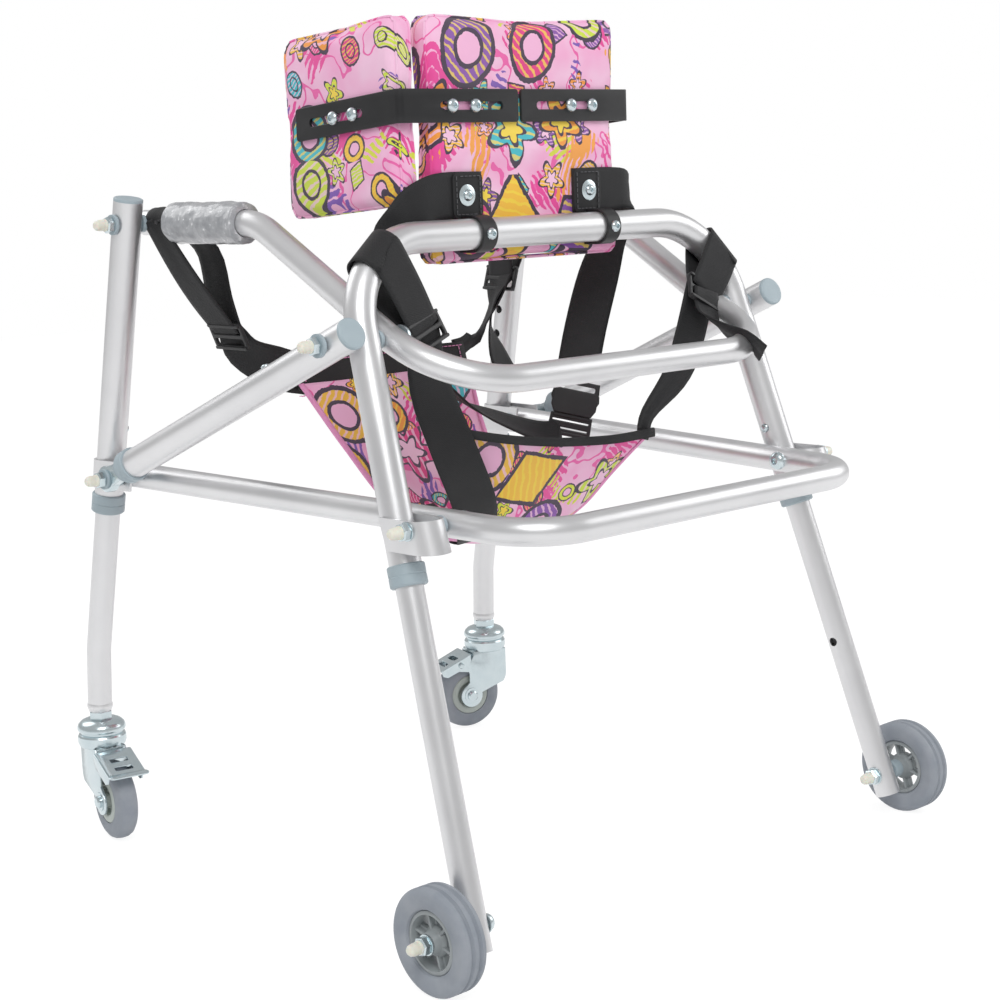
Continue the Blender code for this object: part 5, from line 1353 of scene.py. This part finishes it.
def build_pads():
    front = printed("printed_cotton", front_flat)
    sides = printed("printed_cotton_sides", side_flat)
    width = 0.224
    height = PAD_HIGH_Z - PAD_LOW_Z
    place = Matrix(((1, 0, 0, -width / 2), (0, 0, 1, PAD_Y), (0, 1, 0, PAD_LOW_Z), (0, 0, 0, 1)))
    pressed = [STRIP_Z - PAD_LOW_Z, CROSSBAR_Z - PAD_LOW_Z, RIVET_Z - PAD_LOW_Z]
    cushion("centre_pad_cover", width, height, place, 0.0, pressed, front, "frame", "centre_pad")
    for side, sign in SIDES.items():
        face = STRIP_INNER[side] + STRIP_ARM - STRIP_THICK - STRIP_GAP
        start = WING_START[side]
        low = STRIP_Z - 0.08 - WING_SLOPE * (start - PAD_Y)
        place = Matrix(((0, 0, -sign, sign * face), (1, 0, 0, start), (0, 1, 0, low), (0, 0, 0, 1)))
        name = "side_pad_" + side
        cushion(name + "_cover", 0.15, 0.155, place, WING_SLOPE, [0.08], sides, name, name)


build_pads()


# The steel strips: flat black bar with two long slots, bent square, one on each side. Button head bolts
# through the slots hold the pads, and two plastic clips with domed bolts hold the centre pad's foot.
def black_paint():
    """Black powder coat, with a painted highlight that makes its edges a little brighter."""
    look = Finish("black_powder_coat", (0.01, 0.01, 0.011), 0.3, Specular_IOR_Level=0.4)
    grain = look.noise(1200.0, 2.0)
    cloud = look.noise(40.0, 3.0)
    # painted highlight: convex edges, found by their pointiness, are painted lighter
    painted_edge_highlight = look.node("NewGeometry", output="Pointiness").fade(0.52, 0.6)
    look.put("Base Color", look.mix(painted_edge_highlight * 0.35, look.mix(cloud, (0.009, 0.009, 0.01), (0.02, 0.02, 0.022)),
                                    (0.14, 0.14, 0.145)))
    look.put("Roughness", 0.27 + grain * 0.16)
    look.bump(grain, 0.0001, 0.5)
    return look.material


def black_plastic():
    """Black moulded plastic with a fine grain."""
    look = Finish("black_plastic", (0.014, 0.014, 0.015), 0.42)
    grain = look.noise(1500.0, 2.0)
    cloud = look.noise(60.0, 3.0)
    look.put("Base Color", look.mix(cloud, (0.01, 0.01, 0.011), (0.022, 0.022, 0.024)))
    look.put("Roughness", 0.34 + grain * 0.2)
    look.bump(grain, 0.0001, 0.6)
    return look.material


BLACK_STEEL = black_paint()
BLACK_PLASTIC = black_plastic()
PAD_BOLTS = {"L": (0.061, 0.0863), "R": (0.05, 0.0756)}
WING_BOLTS = {"L": (0.089, 0.1143), "R": (0.1125, 0.1378)}
FRONT = Vector((0, -1, 0))
CLIP_X = 0.073
CLIP_WALL = 0.0022


def button_bolts(name, spots, out, body, node):
    """A pair of button head bolts through a strip's slot."""
    bm = bmesh.new()
    for spot in spots:
        dome_head(bm, spot, out, 0.0, 0.0118, 0.004)
        shank(bm, spot, -out, -0.0006, 0.011, 0.003, 20)
    piece(name, bm, ZINC, body, [node])


def pad_clip(side, sign):
    """A moulded clip bent round the crossbar, and the bolt through its back."""
    bm = bmesh.new()
    r = TUBE_OD / 2 + 0.0004
    reach = PAD_Y - STRIP_GAP - CROSSBAR_Y
    outline = [(reach, r + CLIP_WALL)] + arc(0, 0, r + CLIP_WALL, 90, 270, 24)
    outline += [(reach, -r - CLIP_WALL), (reach, -r)] + arc(0, 0, r, 270, 90, 24) + [(reach, r)]
    turned = Matrix(((0, 0, 1, 0), (1, 0, 0, 0), (0, 1, 0, 0), (0, 0, 0, 1)))
    place = Matrix.Translation((sign * CLIP_X - 0.008, CROSSBAR_Y, CROSSBAR_Z)) @ turned
    slab(bm, outline, place, 0.016, edge=0.0006)
    name = "pad_clip_" + side
    piece(name + "_band", bm, BLACK_PLASTIC, "frame", [name], edge=20)
    bm = bmesh.new()
    dome_head(bm, Vector((sign * CLIP_X, CROSSBAR_Y - r - 0.002, CROSSBAR_Z)), FRONT, 0.0, 0.01, 0.0034)
    piece(name + "_bolt", bm, ZINC, "frame")


def build_strips():
    front_y = PAD_Y - STRIP_GAP - STRIP_THICK
    bend = 0.0055
    middle = bend - STRIP_THICK / 2
    for side, sign in SIDES.items():
        inner = STRIP_INNER[side]
        corner = inner + STRIP_ARM
        arm = STRIP_ARM - bend
        quarter = middle * math.pi / 2
        wing = 0.165 - front_y - bend
        total = arm + quarter + wing

        def bent(u, v, h):
            if u < arm:
                return Vector((inner + u, front_y + h, v))
            if u < arm + quarter:
                t = (u - arm) / middle
                r = bend - h
                return Vector((corner - bend + r * math.sin(t), front_y + bend - r * math.cos(t), v))
            y = front_y + bend + (u - arm - quarter)
            return Vector((corner - h, y, v - WING_SLOPE * max(0.0, y - front_y - bend)))

        slots = [rounded(low, -0.0033, high, 0.0033, 0.0032)
                 for low, high in ((0.018, 0.087), (total - 0.087, total - 0.018))]
        bm = bmesh.new()
        cuts = [arm + quarter * k / 10 for k in range(11)] + [arm + quarter + 0.01]
        place = Matrix.Translation((0, 0, STRIP_Z)) @ Matrix.Scale(sign, 4, X)
        slab(bm, rounded(0, -0.0135, total, 0.0135, 0.003), place, STRIP_THICK, slots, 0.0005, cuts, bent)
        arm_body = "pad_arm_" + side
        piece("pad_strip_" + side, bm, BLACK_STEEL, arm_body, ["pad_bracket_" + side], edge=20)

        spots = [Vector((sign * x, front_y, STRIP_Z)) for x in PAD_BOLTS[side]]
        button_bolts("pad_bolt_heads_" + side, spots, FRONT, "frame", "pad_bolts_" + side)
        spots = [Vector((sign * (corner + 0.0002), y, STRIP_Z - WING_SLOPE * (y - front_y - bend)))
                 for y in WING_BOLTS[side]]
        name = "side_pad_bolt_heads_" + side
        button_bolts(name, spots, X * sign, "side_pad_" + side, "side_pad_bolts_" + side)
        pad_clip(side, sign)


build_strips()


# The sling seat: printed cloth that hangs from four straps, with a black webbing hem behind, pink bound sides
# and a thin black hem in front. The strap at its front left is sewn on under the seat.
WEB = 0.038
WEB_THICK = 0.0015
SEAT_ROWS = [(0.102, 0.229, 0.41), (0.0945, 0.213, 0.382), (0.085, 0.192, 0.35),
             (0.071, 0.149, 0.3), (0.066, 0.086, 0.274), (0.063, 0.045, 0.29),
             (0.085, 0.023, 0.328), (0.113, 0.0000, 0.374)]
SEAT_STEPS = 60
ACROSS = [-1 + k / 12 for k in range(25)]
HEM_Z = 0.0011


def smooth_path(points, steps):
    """A smooth curve through the points."""
    ends = [points[0] * 2 - points[1]] + list(points) + [points[-1] * 2 - points[-2]]
    out = []
    for a, b, c, d in zip(ends, ends[1:], ends[2:], ends[3:]):
        for k in range(steps):
            t = k / steps
            square = (2 * a - 5 * b + 4 * c - d) * t * t
            out.append(0.5 * (2 * b + (c - a) * t + square + (3 * b - a - 3 * c + d) * t ** 3))
    return out + [Vector(points[-1])]


SEAT_LINE = smooth_path([Vector(row) for row in SEAT_ROWS], 10)


def seat_point(t, s):
    """A point of the sling: t runs from the rear hem to the front one, and s across from -1 to 1."""
    place = min(max(t, 0.0), 1.0) * (len(SEAT_LINE) - 1)
    low = min(int(place), len(SEAT_LINE) - 2)
    half, y, z = SEAT_LINE[low].lerp(SEAT_LINE[low + 1], place - low)
    droop = math.sin(math.pi * min(max(t, 0), 1)) ** 0.7
    front = max(0.0, (t - 0.7) / 0.3)
    lift = 0.01 * (s * s - 0.5) * droop
    tilt = -0.012 * s * front * front - 0.008 * (1 - s * s) * front
    fold = noise.noise(Vector((s * 2.6, t * 3.1, 4.7))) * 0.005 * (1 - 0.5 * front)
    return Vector((half * s, y + fold * (abs(t - 0.5) * 2), z + lift + tilt + fold * (1 - abs(t - 0.5) * 2)))


def seat_out(t, s):
    """The sling's outward direction, down and away from the rider."""
    run = seat_point(t + 0.01, s) - seat_point(t - 0.01, s)
    return run.cross(X).normalized()


def webbing_look():
    """Black polypropylene webbing: a fine herringbone of ribs with a slight sheen."""
    look = Finish("black_webbing", (0.012, 0.012, 0.013), 0.68, Sheen_Weight=0.06, Sheen_Roughness=0.4)
    along, across = look.split(look.cloth_place())[:2]
    chevron = (across / 0.003).maths("PINGPONG", 0.5) * 0.0022
    ribs = ((along + chevron) * (6.283 / 0.0015)).sine().fade(-1.0, 1.0)
    dust = look.noise(45.0, 3.0)
    look.put("Base Color", look.mix(ribs * 0.4 + dust * 0.6, (0.006, 0.006, 0.007), (0.02, 0.02, 0.022)))
    look.put("Roughness", 0.6 + dust * 0.2)
    look.bump(ribs, 0.0003, 0.5)
    return look.material


def binding_look():
    """Pink cotton tape, folded over the edge and stitched."""
    look = Finish("pink_binding", (0.9, 0.34, 0.62), 0.75)
    thread = look.noise(900.0, 2.0)
    cloud = look.noise(70.0, 3.0)
    look.put("Base Color", look.mix(cloud, (0.84, 0.27, 0.55), (0.93, 0.44, 0.7)))
    look.put("Roughness", 0.65 + thread * 0.2)
    look.bump(thread, 0.0003, 0.6)
    return look.material


WEBBING = webbing_look()
BINDING = binding_look()


def cloth_flat(look):
    """The print runs along the cloth's own map."""
    along, across = look.split(look.cloth_place())[:2]
    return along + 0.43, across + 0.29


def cloth_grid(rows):
    """A grid of cloth pushed on from row to row, with its own map in metres, and its length and width."""
    bm = bmesh.new()
    flat = {}
    line = [bm.verts.new(p) for p in rows[0]]
    widths = [0.0]
    for a, b in zip(rows[0], rows[0][1:]):
        widths.append(widths[-1] + (b - a).length)
    middle = len(rows[0]) // 2
    for point, across in zip(line, widths):
        flat[point] = (0.0, across)
    for pair in zip(line, line[1:]):
        bm.edges.new(pair)
    run = 0.0
    for before, row in zip(rows, rows[1:]):
        edges = [bm.edges.get(pair) for pair in zip(line, line[1:])]
        grown = bmesh.ops.extrude_edge_only(bm, edges=edges)["geom"]
        fresh = set(points_of(grown))
        line = [next(e.other_vert(p) for e in p.link_edges if e.other_vert(p) in fresh) for p in line]
        run += (row[middle] - before[middle]).length
        across = 0.0
        half = sum((b - a).length for a, b in zip(row, row[1:])) / 2
        for number, (point, at) in enumerate(zip(line, row)):
            point.co = at
            across += (at - row[number - 1]).length if number else 0.0
            flat[point] = (run, across - half + widths[-1] / 2)
    uv = bm.loops.layers.uv.new("flat")
    for face in bm.faces:
        for corner in face.loops:
            corner[uv].uv = flat[corner.vert]
    return bm, run, widths[-1]


def cloth_piece(name, rows, look, thickness, nodes=()):
    """A piece of cloth with its thickness, and the length and width it was cut to."""
    bm, length, width = cloth_grid(rows)
    made = piece(name, bm, look, None, nodes, edge=180)
    wall = made.modifiers.new("thickness", "SOLIDIFY")
    wall.thickness = thickness
    wall.offset = 0.0
    return made, length, width


def hang(made):
    """Bakes a cloth piece's place into its mesh."""
    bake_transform(made)
    return made


def stitches(bm, path, out, length=0.0032, gap=0.0014, radius=0.00035):
    """A row of sewn stitches, each a short raised thread."""
    total = [0.0]
    for a, b in zip(path, path[1:]):
        total.append(total[-1] + (b - a).length)
    at = 0.0
    while at + length < total[-1]:
        ends = []
        for place in (at, at + length):
            i = max(k for k in range(len(total)) if total[k] <= place + 1e-9)
            i = min(i, len(path) - 2)
            share = (place - total[i]) / max(1e-9, total[i + 1] - total[i])
            ends.append(path[i].lerp(path[i + 1], share))
        middle = (ends[0] + ends[1]) / 2 + out * radius * 1.4
        run = (ends[1] - ends[0]).normalized()
        place = axes(middle, run, out)
        shape = Matrix.Diagonal((length, radius * 1.6, radius * 2, 1))
        bmesh.ops.create_cube(bm, size=1.0, matrix=place @ shape)
        at += length + gap


def side_binding(side, s):
    """Tape folded over one side of the sling."""
    rows = []
    for i in range(SEAT_STEPS + 1):
        p = seat_point(i / SEAT_STEPS, s)
        out = seat_out(i / SEAT_STEPS, s)
        rows.append([p - X * s * 0.0038 + out * HEM_Z, p + X * s * 0.0004 + out * HEM_Z, p + X * s * 0.001,
                     p + X * s * 0.0004 - out * HEM_Z, p - X * s * 0.0038 - out * HEM_Z])
    return hang(cloth_piece("sling_binding_" + side, rows, BINDING, 0.0007)[0])


def build_sling():
    cloth = printed("printed_sling", cloth_flat)
    rows = [[seat_point(i / SEAT_STEPS, s) for s in ACROSS] for i in range(SEAT_STEPS + 1)]
    seat, length, width = cloth_piece("sling_seat", rows, cloth, 0.0012, ["sling"])
    hang(seat)
    hems = [side_binding(side, sign) for side, sign in SIDES.items()]
    top = [seat_point(0.0, s) for s in ACROSS]
    rise = Vector((0, 0.3, 1)).normalized()
    rows = []
    for p in top:
        below = 0.015 - 0.01 * max(0.0, abs(p.x / top[0].x) - 0.75) / 0.25
        behind = Vector((0, 0.0026, 0))
        rows.append([p + rise * (0.023 * k / 4 - below * (4 - k) / 4) + behind for k in range(5)])
    hems.append(hang(cloth_piece("sling_rear_hem", rows, WEBBING, 0.0018)[0]))
    thread = bmesh.new()
    for level in (-0.011, 0.02):
        for face in (0.0038, 0.0014):
            line = [p + rise * level + Vector((0, face, 0)) for p in top]
            stitches(thread, line, Vector((0, 1 if face > 0.0026 else -1, 0)))
    for p in (top[1], top[-2]):
        line = [p + rise * level + Vector((0, 0.0014, 0)) for level in (0.002, 0.02)]
        stitches(thread, line, Vector((0, -1, 0)))
    hang(piece("sling_rear_stitches", thread, BINDING, None))
    rows = []
    for s in ACROSS:
        p = seat_point(1.0, s)
        out = seat_out(0.995, s)
        rows.append([p - Z * 0.0024 + out * HEM_Z, p + Z * 0.0003 + out * 0.001, p + Z * 0.0009,
                     p + Z * 0.0003 - out * 0.001, p - Z * 0.006 - out * HEM_Z])
    hems.append(hang(cloth_piece("sling_front_hem", rows, WEBBING, 0.0007)[0]))


build_sling()


# The hanging straps: black webbing looped round the front frame's corners and, gathered narrow, round the
# handle frame behind the grips. Each runs through a moulded three-bar slide to a corner of the sling, and the
# two on the right have a spare end that hangs loose.
FRONT_LOOP_TURN = {"L": 0.641, "R": 0.949}
SLIDE_AT = {"LF": Vector((-0.15, 0.002, 0.468)), "RF": Vector((0.17, -0.01, 0.478)),
            "LR": Vector((-0.16, 0.251, 0.458)), "RR": Vector((0.184, 0.266, 0.487))}
SLIDE_LEVEL = {"L": Vector((0.93, 0.25, 0.27)), "R": Vector((0.9, 0.0, -0.44))}
LOOP_GATHER = 0.028
STRAP_LIFT = 0.0016
KNOT_HALF = 0.0012


def corner_point(sign, turn):
    """A point on the front frame's corner and the tube's direction there, down towards the leg."""
    inward = Vector((0, -0.307, -0.9517))
    centre = Vector((sign * 0.141, -0.0048, 0.468))
    point = centre + (X * sign * math.sin(turn) - inward * math.cos(turn)) * FRONT_BEND
    return point, (X * sign * math.cos(turn) + inward * math.sin(turn)).normalized()


def round_tube(centre, aside, over, radius):
    """The part of a strap's path that lies on a tube."""
    turns = [math.radians(a) for a in range(-10, 191, 20)]
    return [centre + (aside * math.cos(t) + over * math.sin(t)) * (radius + STRAP_LIFT) for t in turns]


def loop_path(centre, along, radius, knot):
    """From a slide up round a tube and back: the strands meet at the slide."""
    over = centre - knot
    over = (over - along * over.dot(along)).normalized()
    aside = along.cross(over)
    ring = round_tube(centre, aside, over, radius)
    half = (knot + ring[0]) / 2 + aside * 0.002
    back = (knot + ring[-1]) / 2 - aside * 0.002
    return [knot + aside * KNOT_HALF, half] + ring + [back, knot - aside * KNOT_HALF]


def slide(name, knot, across, run, out):
    """A moulded slide whose three bars stand proud of the webbing on its outer face."""
    bm = bmesh.new()
    place = axes(knot, across, run)
    if place.to_3x3().col[2].dot(out) < 0:
        place = axes(knot, -across, run)
    openings = ((0.002, 0.0088), (-0.0088, -0.002))
    holes = [rounded(-0.019, low, 0.019, high, 0.0016, 3) for low, high in openings]
    plate = rounded(-0.0225, -0.0125, 0.0225, 0.0125, 0.004)
    slab(bm, plate, place @ Matrix.Translation((0, 0, -0.0006)), 0.0036, holes, 0.0009)
    for level in (0.0108, -0.0108):
        bar = rounded(-0.0215, level - 0.0015, 0.0215, level + 0.0015, 0.0012, 3)
        slab(bm, bar, place @ Matrix.Translation((0, 0, -0.001)), 0.0056, edge=0.0006)
    return piece(name, bm, BLACK_PLASTIC, None, edge=20)


def web_piece(name, path, across, widths, nodes=()):
    """Webbing along a path, whose width and cross direction change smoothly."""
    fine = smooth_path(path, 4)
    turns = smooth_path(across, 4)
    wide = smooth_path([Vector((w, 0, 0)) for w in widths], 4)
    rows = []
    for i, p in enumerate(fine):
        ahead = (fine[min(i + 1, len(fine) - 1)] - fine[max(i - 1, 0)]).normalized()
        side = (turns[i] - ahead * turns[i].dot(ahead)).normalized()
        out = ahead.cross(side)
        gather = max(0.0, 1 - wide[i].x / WEB)
        row = []
        for k in (-1, -0.75, -0.5, -0.25, 0, 0.25, 0.5, 0.75, 1):
            crease = gather * 0.0016 * math.sin(k * 5.5)
            row.append(p + side * wide[i].x * k / 2 + out * crease)
        rows.append(row)
    return cloth_piece(name, rows, WEBBING, WEB_THICK, nodes)


def front_strap(side, sign):
    """One loop on the front frame, its slide, and the webbing from there to the sling."""
    knot = SLIDE_AT[side + "F"]
    centre, along = corner_point(sign, FRONT_LOOP_TURN[side])
    path = loop_path(centre, along, TUBE_OD / 2, knot)
    level = SLIDE_LEVEL[side]
    along = along if along.dot(level) > 0 else -along
    half_way = along.lerp(level, 0.4)
    across = [level, half_way] + [along] * (len(path) - 4) + [half_way, level]
    name = "front_loop_" + side
    loop, length, width = web_piece(name, path, across, [WEB] * len(path), ["front_strap_" + side])
    buckle = slide("front_slide_" + side, knot, level, (knot - centre).normalized(), Vector((-0.4, -1, 0)))
    if side == "L":
        under = [seat_point(t, -0.62) + seat_out(t, -0.62) * 0.0026 for t in (0.62, 0.56, 0.5, 0.44)]
        path = [knot + Vector((0, 0.002, 0.01)), Vector((-0.1467, 0.003, 0.425)),
                Vector((-0.1257, 0.002, 0.3736)), Vector((-0.0905, 0.017, 0.3215)),
                Vector((-0.07, 0.037, 0.2925))] + under
        across = [level, Vector((0.98, -0.15, 0.1)), Vector((0.95, -0.3, 0)), Vector((0.95, -0.25, 0))]
        across += [X] * (1 + len(under))
        widths = [WEB] * len(path)
    else:
        foot = seat_point(0.985, 0.93) + seat_out(0.985, 0.93) * 0.0022
        path = [knot + Vector((0.001, 0.002, 0.01)), Vector((0.153, -0.006, 0.435)),
                Vector((0.1365, -0.004, 0.406)), foot + Vector((0.007, -0.001, 0.016)), foot - Z * 0.006]
        across = [level, Vector((0.92, 0.0, -0.38)), Vector((0.95, 0, -0.3)), Vector((1, 0, -0.1)), X]
        widths = [WEB, WEB, 0.033, 0.02, 0.016]
    strap, strap_length, strap_width = web_piece("front_web_" + side, path, across, widths)
    for made in (loop, buckle, strap):
        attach(made, "frame")


def rear_strap(side, sign):
    """One loop on the handle frame, its slide, and the webbing from there to the rear hem."""
    knot = SLIDE_AT[side + "R"]
    run = (HANDLE[0] - HANDLE[1]).normalized()
    centre = mirrored(HANDLE[1] + run * (0.1245 / run.y), sign)
    along = mirrored(run, sign)
    aside = X * sign
    ring = round_tube(centre, aside, Z, INNER_OD / 2)
    near = [ring[0].lerp(knot, share) + aside * 0.004 for share in (0.4, 0.7)]
    slack = Vector((-sign * 0.012, -0.008, -0.001))
    far = [ring[-1].lerp(knot, 0.66) + slack * 0.4, ring[-1].lerp(knot, 0.24) + slack]
    path = [knot + aside * KNOT_HALF] + near[::-1] + ring + far[::-1] + [knot - aside * KNOT_HALF]
    count = len(path)
    widths = [0.035, 0.037, 0.034] + [LOOP_GATHER] * (count - 6) + [0.033, 0.035, 0.035]
    loop, length = web_piece("rear_loop_" + side, path, [along] * count, widths, ["rear_strap_" + side])[:2]
    buckle = slide("rear_slide_" + side, knot, along, (knot - centre).normalized(), Vector((-1, -0.3, 0)))
    hem = seat_point(0.0, sign) + Vector((0, 0.004, 0.006))
    if side == "L":
        path = [knot + Vector((0, 0, 0.006)), Vector((-0.148, 0.2465, 0.442)),
                hem + Vector((-0.014, 0.005, 0.009)), hem + Vector((0.015, 0.004, 0.002))]
        across = [along * -1, Vector((0.2, -0.9, 0.6)), Vector((0, -0.15, 1)), Z]
        widths = [0.036, WEB, WEB, WEB]
    else:
        path = [knot + Vector((0, 0, 0.006)), Vector((0.17, 0.262, 0.464)), Vector((0.138, 0.25, 0.44)),
                hem + Vector((0.008, 0.008, 0.014)), hem + Vector((-0.01, 0.006, 0.008))]
        across = [along, Vector((0.5, 0.85, 0)), Vector((0.68, 0.73, 0)), Vector((0.4, 0.3, 0.8)), Z]
        widths = [0.035, 0.03, 0.02, 0.015, 0.022]
    strap, strap_length, strap_width = web_piece("rear_web_" + side, path, across, widths)
    for made in (loop, buckle, strap):
        hang(made)


def spare_ends():
    """The loose ends of the two straps on the right."""
    knot = SLIDE_AT["RF"]
    front = [knot + Vector((0.001, -0.003, 0.004)), knot + Vector((-0.006, -0.012, -0.02)),
             Vector((0.156, -0.052, 0.445)), Vector((0.146, -0.084, 0.44)), Vector((0.148, -0.096, 0.43))]
    across = [SLIDE_LEVEL["R"], Vector((0.8, -0.2, -0.6)), Vector((0.55, -0.3, -0.8)),
              Vector((0.5, -0.2, -0.85)), Vector((0.5, 0.0, -0.85))]
    widths = [0.034, 0.03, 0.025, 0.024, 0.028]
    tail, length, width = web_piece("front_tail_R", front, across, widths)
    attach(tail, "frame")
    knot = SLIDE_AT["RR"]
    rear = [knot + Vector((0, 0.002, -0.002)), Vector((0.166, 0.26, 0.464)), Vector((0.159, 0.258, 0.442)),
            Vector((0.162, 0.254, 0.418)), Vector((0.17, 0.25, 0.396))]
    across = [Vector((0, 1, 0)), Vector((0.6, 0.8, 0)), Vector((0.72, 0.69, 0)), Vector((0.9, 0.4, 0)),
              Vector((0.95, 0.3, 0))]
    widths = [0.033, 0.024, 0.03, 0.036, WEB]
    tail, length, width = web_piece("rear_tail_R", rear, across, widths)
    hang(tail)


for strap_side, strap_sign in SIDES.items():
    front_strap(strap_side, strap_sign)
    rear_strap(strap_side, strap_sign)
spare_ends()


# The waist belt: two lengths of the same webbing, each folded into a sewn tab that a rivet and washer hold on
# the centre pad's foot. They pass round the pad's edges and hang to a side release buckle over the sling.
BELT = 0.038
RIVET_X = {"L": -0.074, "R": 0.069}


BELT_Y = PAD_Y - 0.0016
BELT_ROUTES = {
    "R": [(0.051, BELT_Y, RIVET_Z), (0.098, BELT_Y, RIVET_Z), (0.117, BELT_Y + 0.0005, 0.5725),
          (0.13, 0.04, 0.564), (0.135, 0.053, 0.547), (0.131, 0.066, 0.526), (0.123, 0.074, 0.495),
          (0.108, 0.077, 0.45), (0.094, 0.076, 0.408)],
    "L": [(-0.056, BELT_Y, RIVET_Z), (-0.098, BELT_Y, RIVET_Z), (-0.118, BELT_Y, 0.569),
          (-0.13, 0.0365, 0.56), (-0.141, 0.04, 0.549), (-0.147, 0.047, 0.536),
          (-0.145, 0.057, 0.521), (-0.135, 0.068, 0.503), (-0.116, 0.076, 0.475),
          (-0.09, 0.079, 0.437), (-0.045, 0.079, 0.398), (0.005, 0.078, 0.376), (0.05, 0.0765, 0.36),
          (0.072, 0.076, 0.356)],
}
BELT_ACROSS = {
    "R": [(0, 0, 1), (0, 0, 1), (0, 0, 1), (0, 0.3, 1), (0, 1, 0.7), (-0.3, 1, 0.3), (-0.6, 0.8, 0),
          (-0.73, 0.68, 0), (-0.73, 0.68, 0)],
    "L": [(0, 0, 1), (0, 0, 1), (0, 0, 1), (0, 0, 1), (0, 0, 1), (0, 0.3, 1), (0, 1, 0.7), (-0.2, 1, 0.3),
          (0.5, 1, 0), (0.2, 1, 0.1), (0, 1, 0.3), (0, 1, 0.6), (0, 0.8, 0.8), (0, 0.4, 1)],
}
BELT_WIDTHS = {
    "R": [BELT, BELT, 0.034, 0.026, 0.025, 0.031, 0.037, BELT, BELT],
    "L": [BELT] * 4 + [0.034] * 8 + [0.03, 0.026],
}
TAB_LENGTH = 0.033


def belt_tab(side, sign, start):
    """The belt's end, folded back and sewn in a square, with a rivet and its washer through the middle."""
    tab = bmesh.new()
    low, high = sorted((start, start + sign * TAB_LENGTH))
    turned = Matrix(((1, 0, 0, 0), (0, 0, -1, 0), (0, 1, 0, 0), (0, 0, 0, 1)))
    place = Matrix.Translation((0, BELT_Y - 0.0008, RIVET_Z)) @ turned
    slab(tab, rounded(low, -BELT / 2, high, BELT / 2, 0.006, 4), place, 0.0014, edge=0.0004)
    made = piece("belt_tab_" + side, tab, WEBBING, "frame", edge=40)
    thread = bmesh.new()
    face = BELT_Y - 0.0023
    rim = BELT / 2 - 0.0035
    box = [(low + 0.0035, -rim), (high - 0.0035, -rim), (high - 0.0035, rim), (low + 0.0035, rim)]
    for a, b in zip(box, box[1:] + box[:1]):
        stitches(thread, [Vector((a[0], face, RIVET_Z + a[1])), Vector((b[0], face, RIVET_Z + b[1]))], FRONT)
    piece("belt_stitches_" + side, thread, THREAD, "frame", edge=60)
    rivet = bmesh.new()
    at = Vector((RIVET_X[side], BELT_Y - 0.0022, RIVET_Z))
    disc = [(0, -0.0004), (0.0085, -0.0004), (0.0088, 0.0006), (0.007, 0.0012), (0, 0.0012)]
    lathe(rivet, at, FRONT, disc, 32)
    dome_head(rivet, at, FRONT, 0.001, 0.0096, 0.003)
    piece("belt_rivet_" + side, rivet, ZINC, "frame")
    return made


def build_belt():
    build_buckle()
    for side in ("R", "L"):
        path = [Vector(p) for p in BELT_ROUTES[side]]
        across = [Vector(a) for a in BELT_ACROSS[side]]
        name = "waist_belt_" + side
        belt, length, width = web_piece(name + "_web", path, across, BELT_WIDTHS[side], [name])
        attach(belt, "frame")
        tab = belt_tab(side, SIDES[side], path[0].x)


def build_buckle():
    """A side release buckle: a hollow body, the prongs that show in its open sides, and a ladder bar."""
    bm = bmesh.new()
    at = Vector((0.088, 0.076, 0.378))
    run = Vector((-0.24, 0.1, -1)).normalized()
    aside = Vector((0.73, -0.68, 0))
    aside = (aside - run * aside.dot(run)).normalized()
    base = set_out(at, aside, run * -1, aside.cross(run * -1))

    def layer(outline, low, high, holes=(), edge=0.0008):
        slab(bm, outline, base @ Matrix.Translation((0, 0, low)), high - low, holes, edge)

    body = [(-0.0195, 0.0255), (0.0195, 0.0255), (0.0205, 0.016), (0.0205, 0.001), (0.017, -0.0055),
            (-0.017, -0.0055), (-0.0205, 0.001), (-0.0205, 0.016)]
    slot = rounded(-0.0165, 0.017, 0.0165, 0.0215, 0.0014, 3)
    layer(body, 0.0022, 0.005, [slot])
    layer(body, -0.005, -0.0022, [slot])
    layer(rounded(-0.006, -0.004, 0.006, 0.014, 0.001, 3), -0.0023, 0.0023)
    layer(rounded(-0.019, 0.022, 0.019, 0.0252, 0.001, 3), -0.0023, 0.0023)
    for face in (-1, 1):
        prong = [(face * 0.012, -0.006), (face * 0.015, 0.002), (face * 0.02, 0.004), (face * 0.0222, 0.009),
                 (face * 0.0212, 0.015), (face * 0.0165, 0.0156), (face * 0.015, 0.008), (face * 0.009, 0)]
        layer(prong if face > 0 else prong[::-1], -0.0019, 0.0019)
    male = [(-0.019, -0.006), (0.019, -0.006), (0.02, -0.024), (-0.02, -0.024)]
    slots = [rounded(-0.0165, -0.0126, 0.0165, -0.0112, 0.0006, 3),
             rounded(-0.0165, -0.0196, 0.0165, -0.0182, 0.0006, 3)]
    layer(male[::-1], -0.0024, 0.0024, slots)
    layer(rounded(-0.0195, -0.0255, 0.0195, -0.022, 0.0012, 3), -0.003, 0.0034)
    layer(rounded(-0.017, -0.009, 0.017, -0.0055, 0.0012, 3), -0.0034, 0.0034)
    piece("belt_buckle_shell", bm, BLACK_PLASTIC, "frame", ["belt_buckle"], edge=20)


def thread_look():
    """Grey sewing thread."""
    look = Finish("sewing_thread", (0.1, 0.1, 0.105), 0.6)
    twist = look.noise(1500.0, 2.0)
    look.put("Base Color", look.mix(twist, (0.05, 0.05, 0.055), (0.14, 0.14, 0.15)))
    look.bump(twist, 0.0002, 0.6)
    return look.material


THREAD = thread_look()
build_belt()
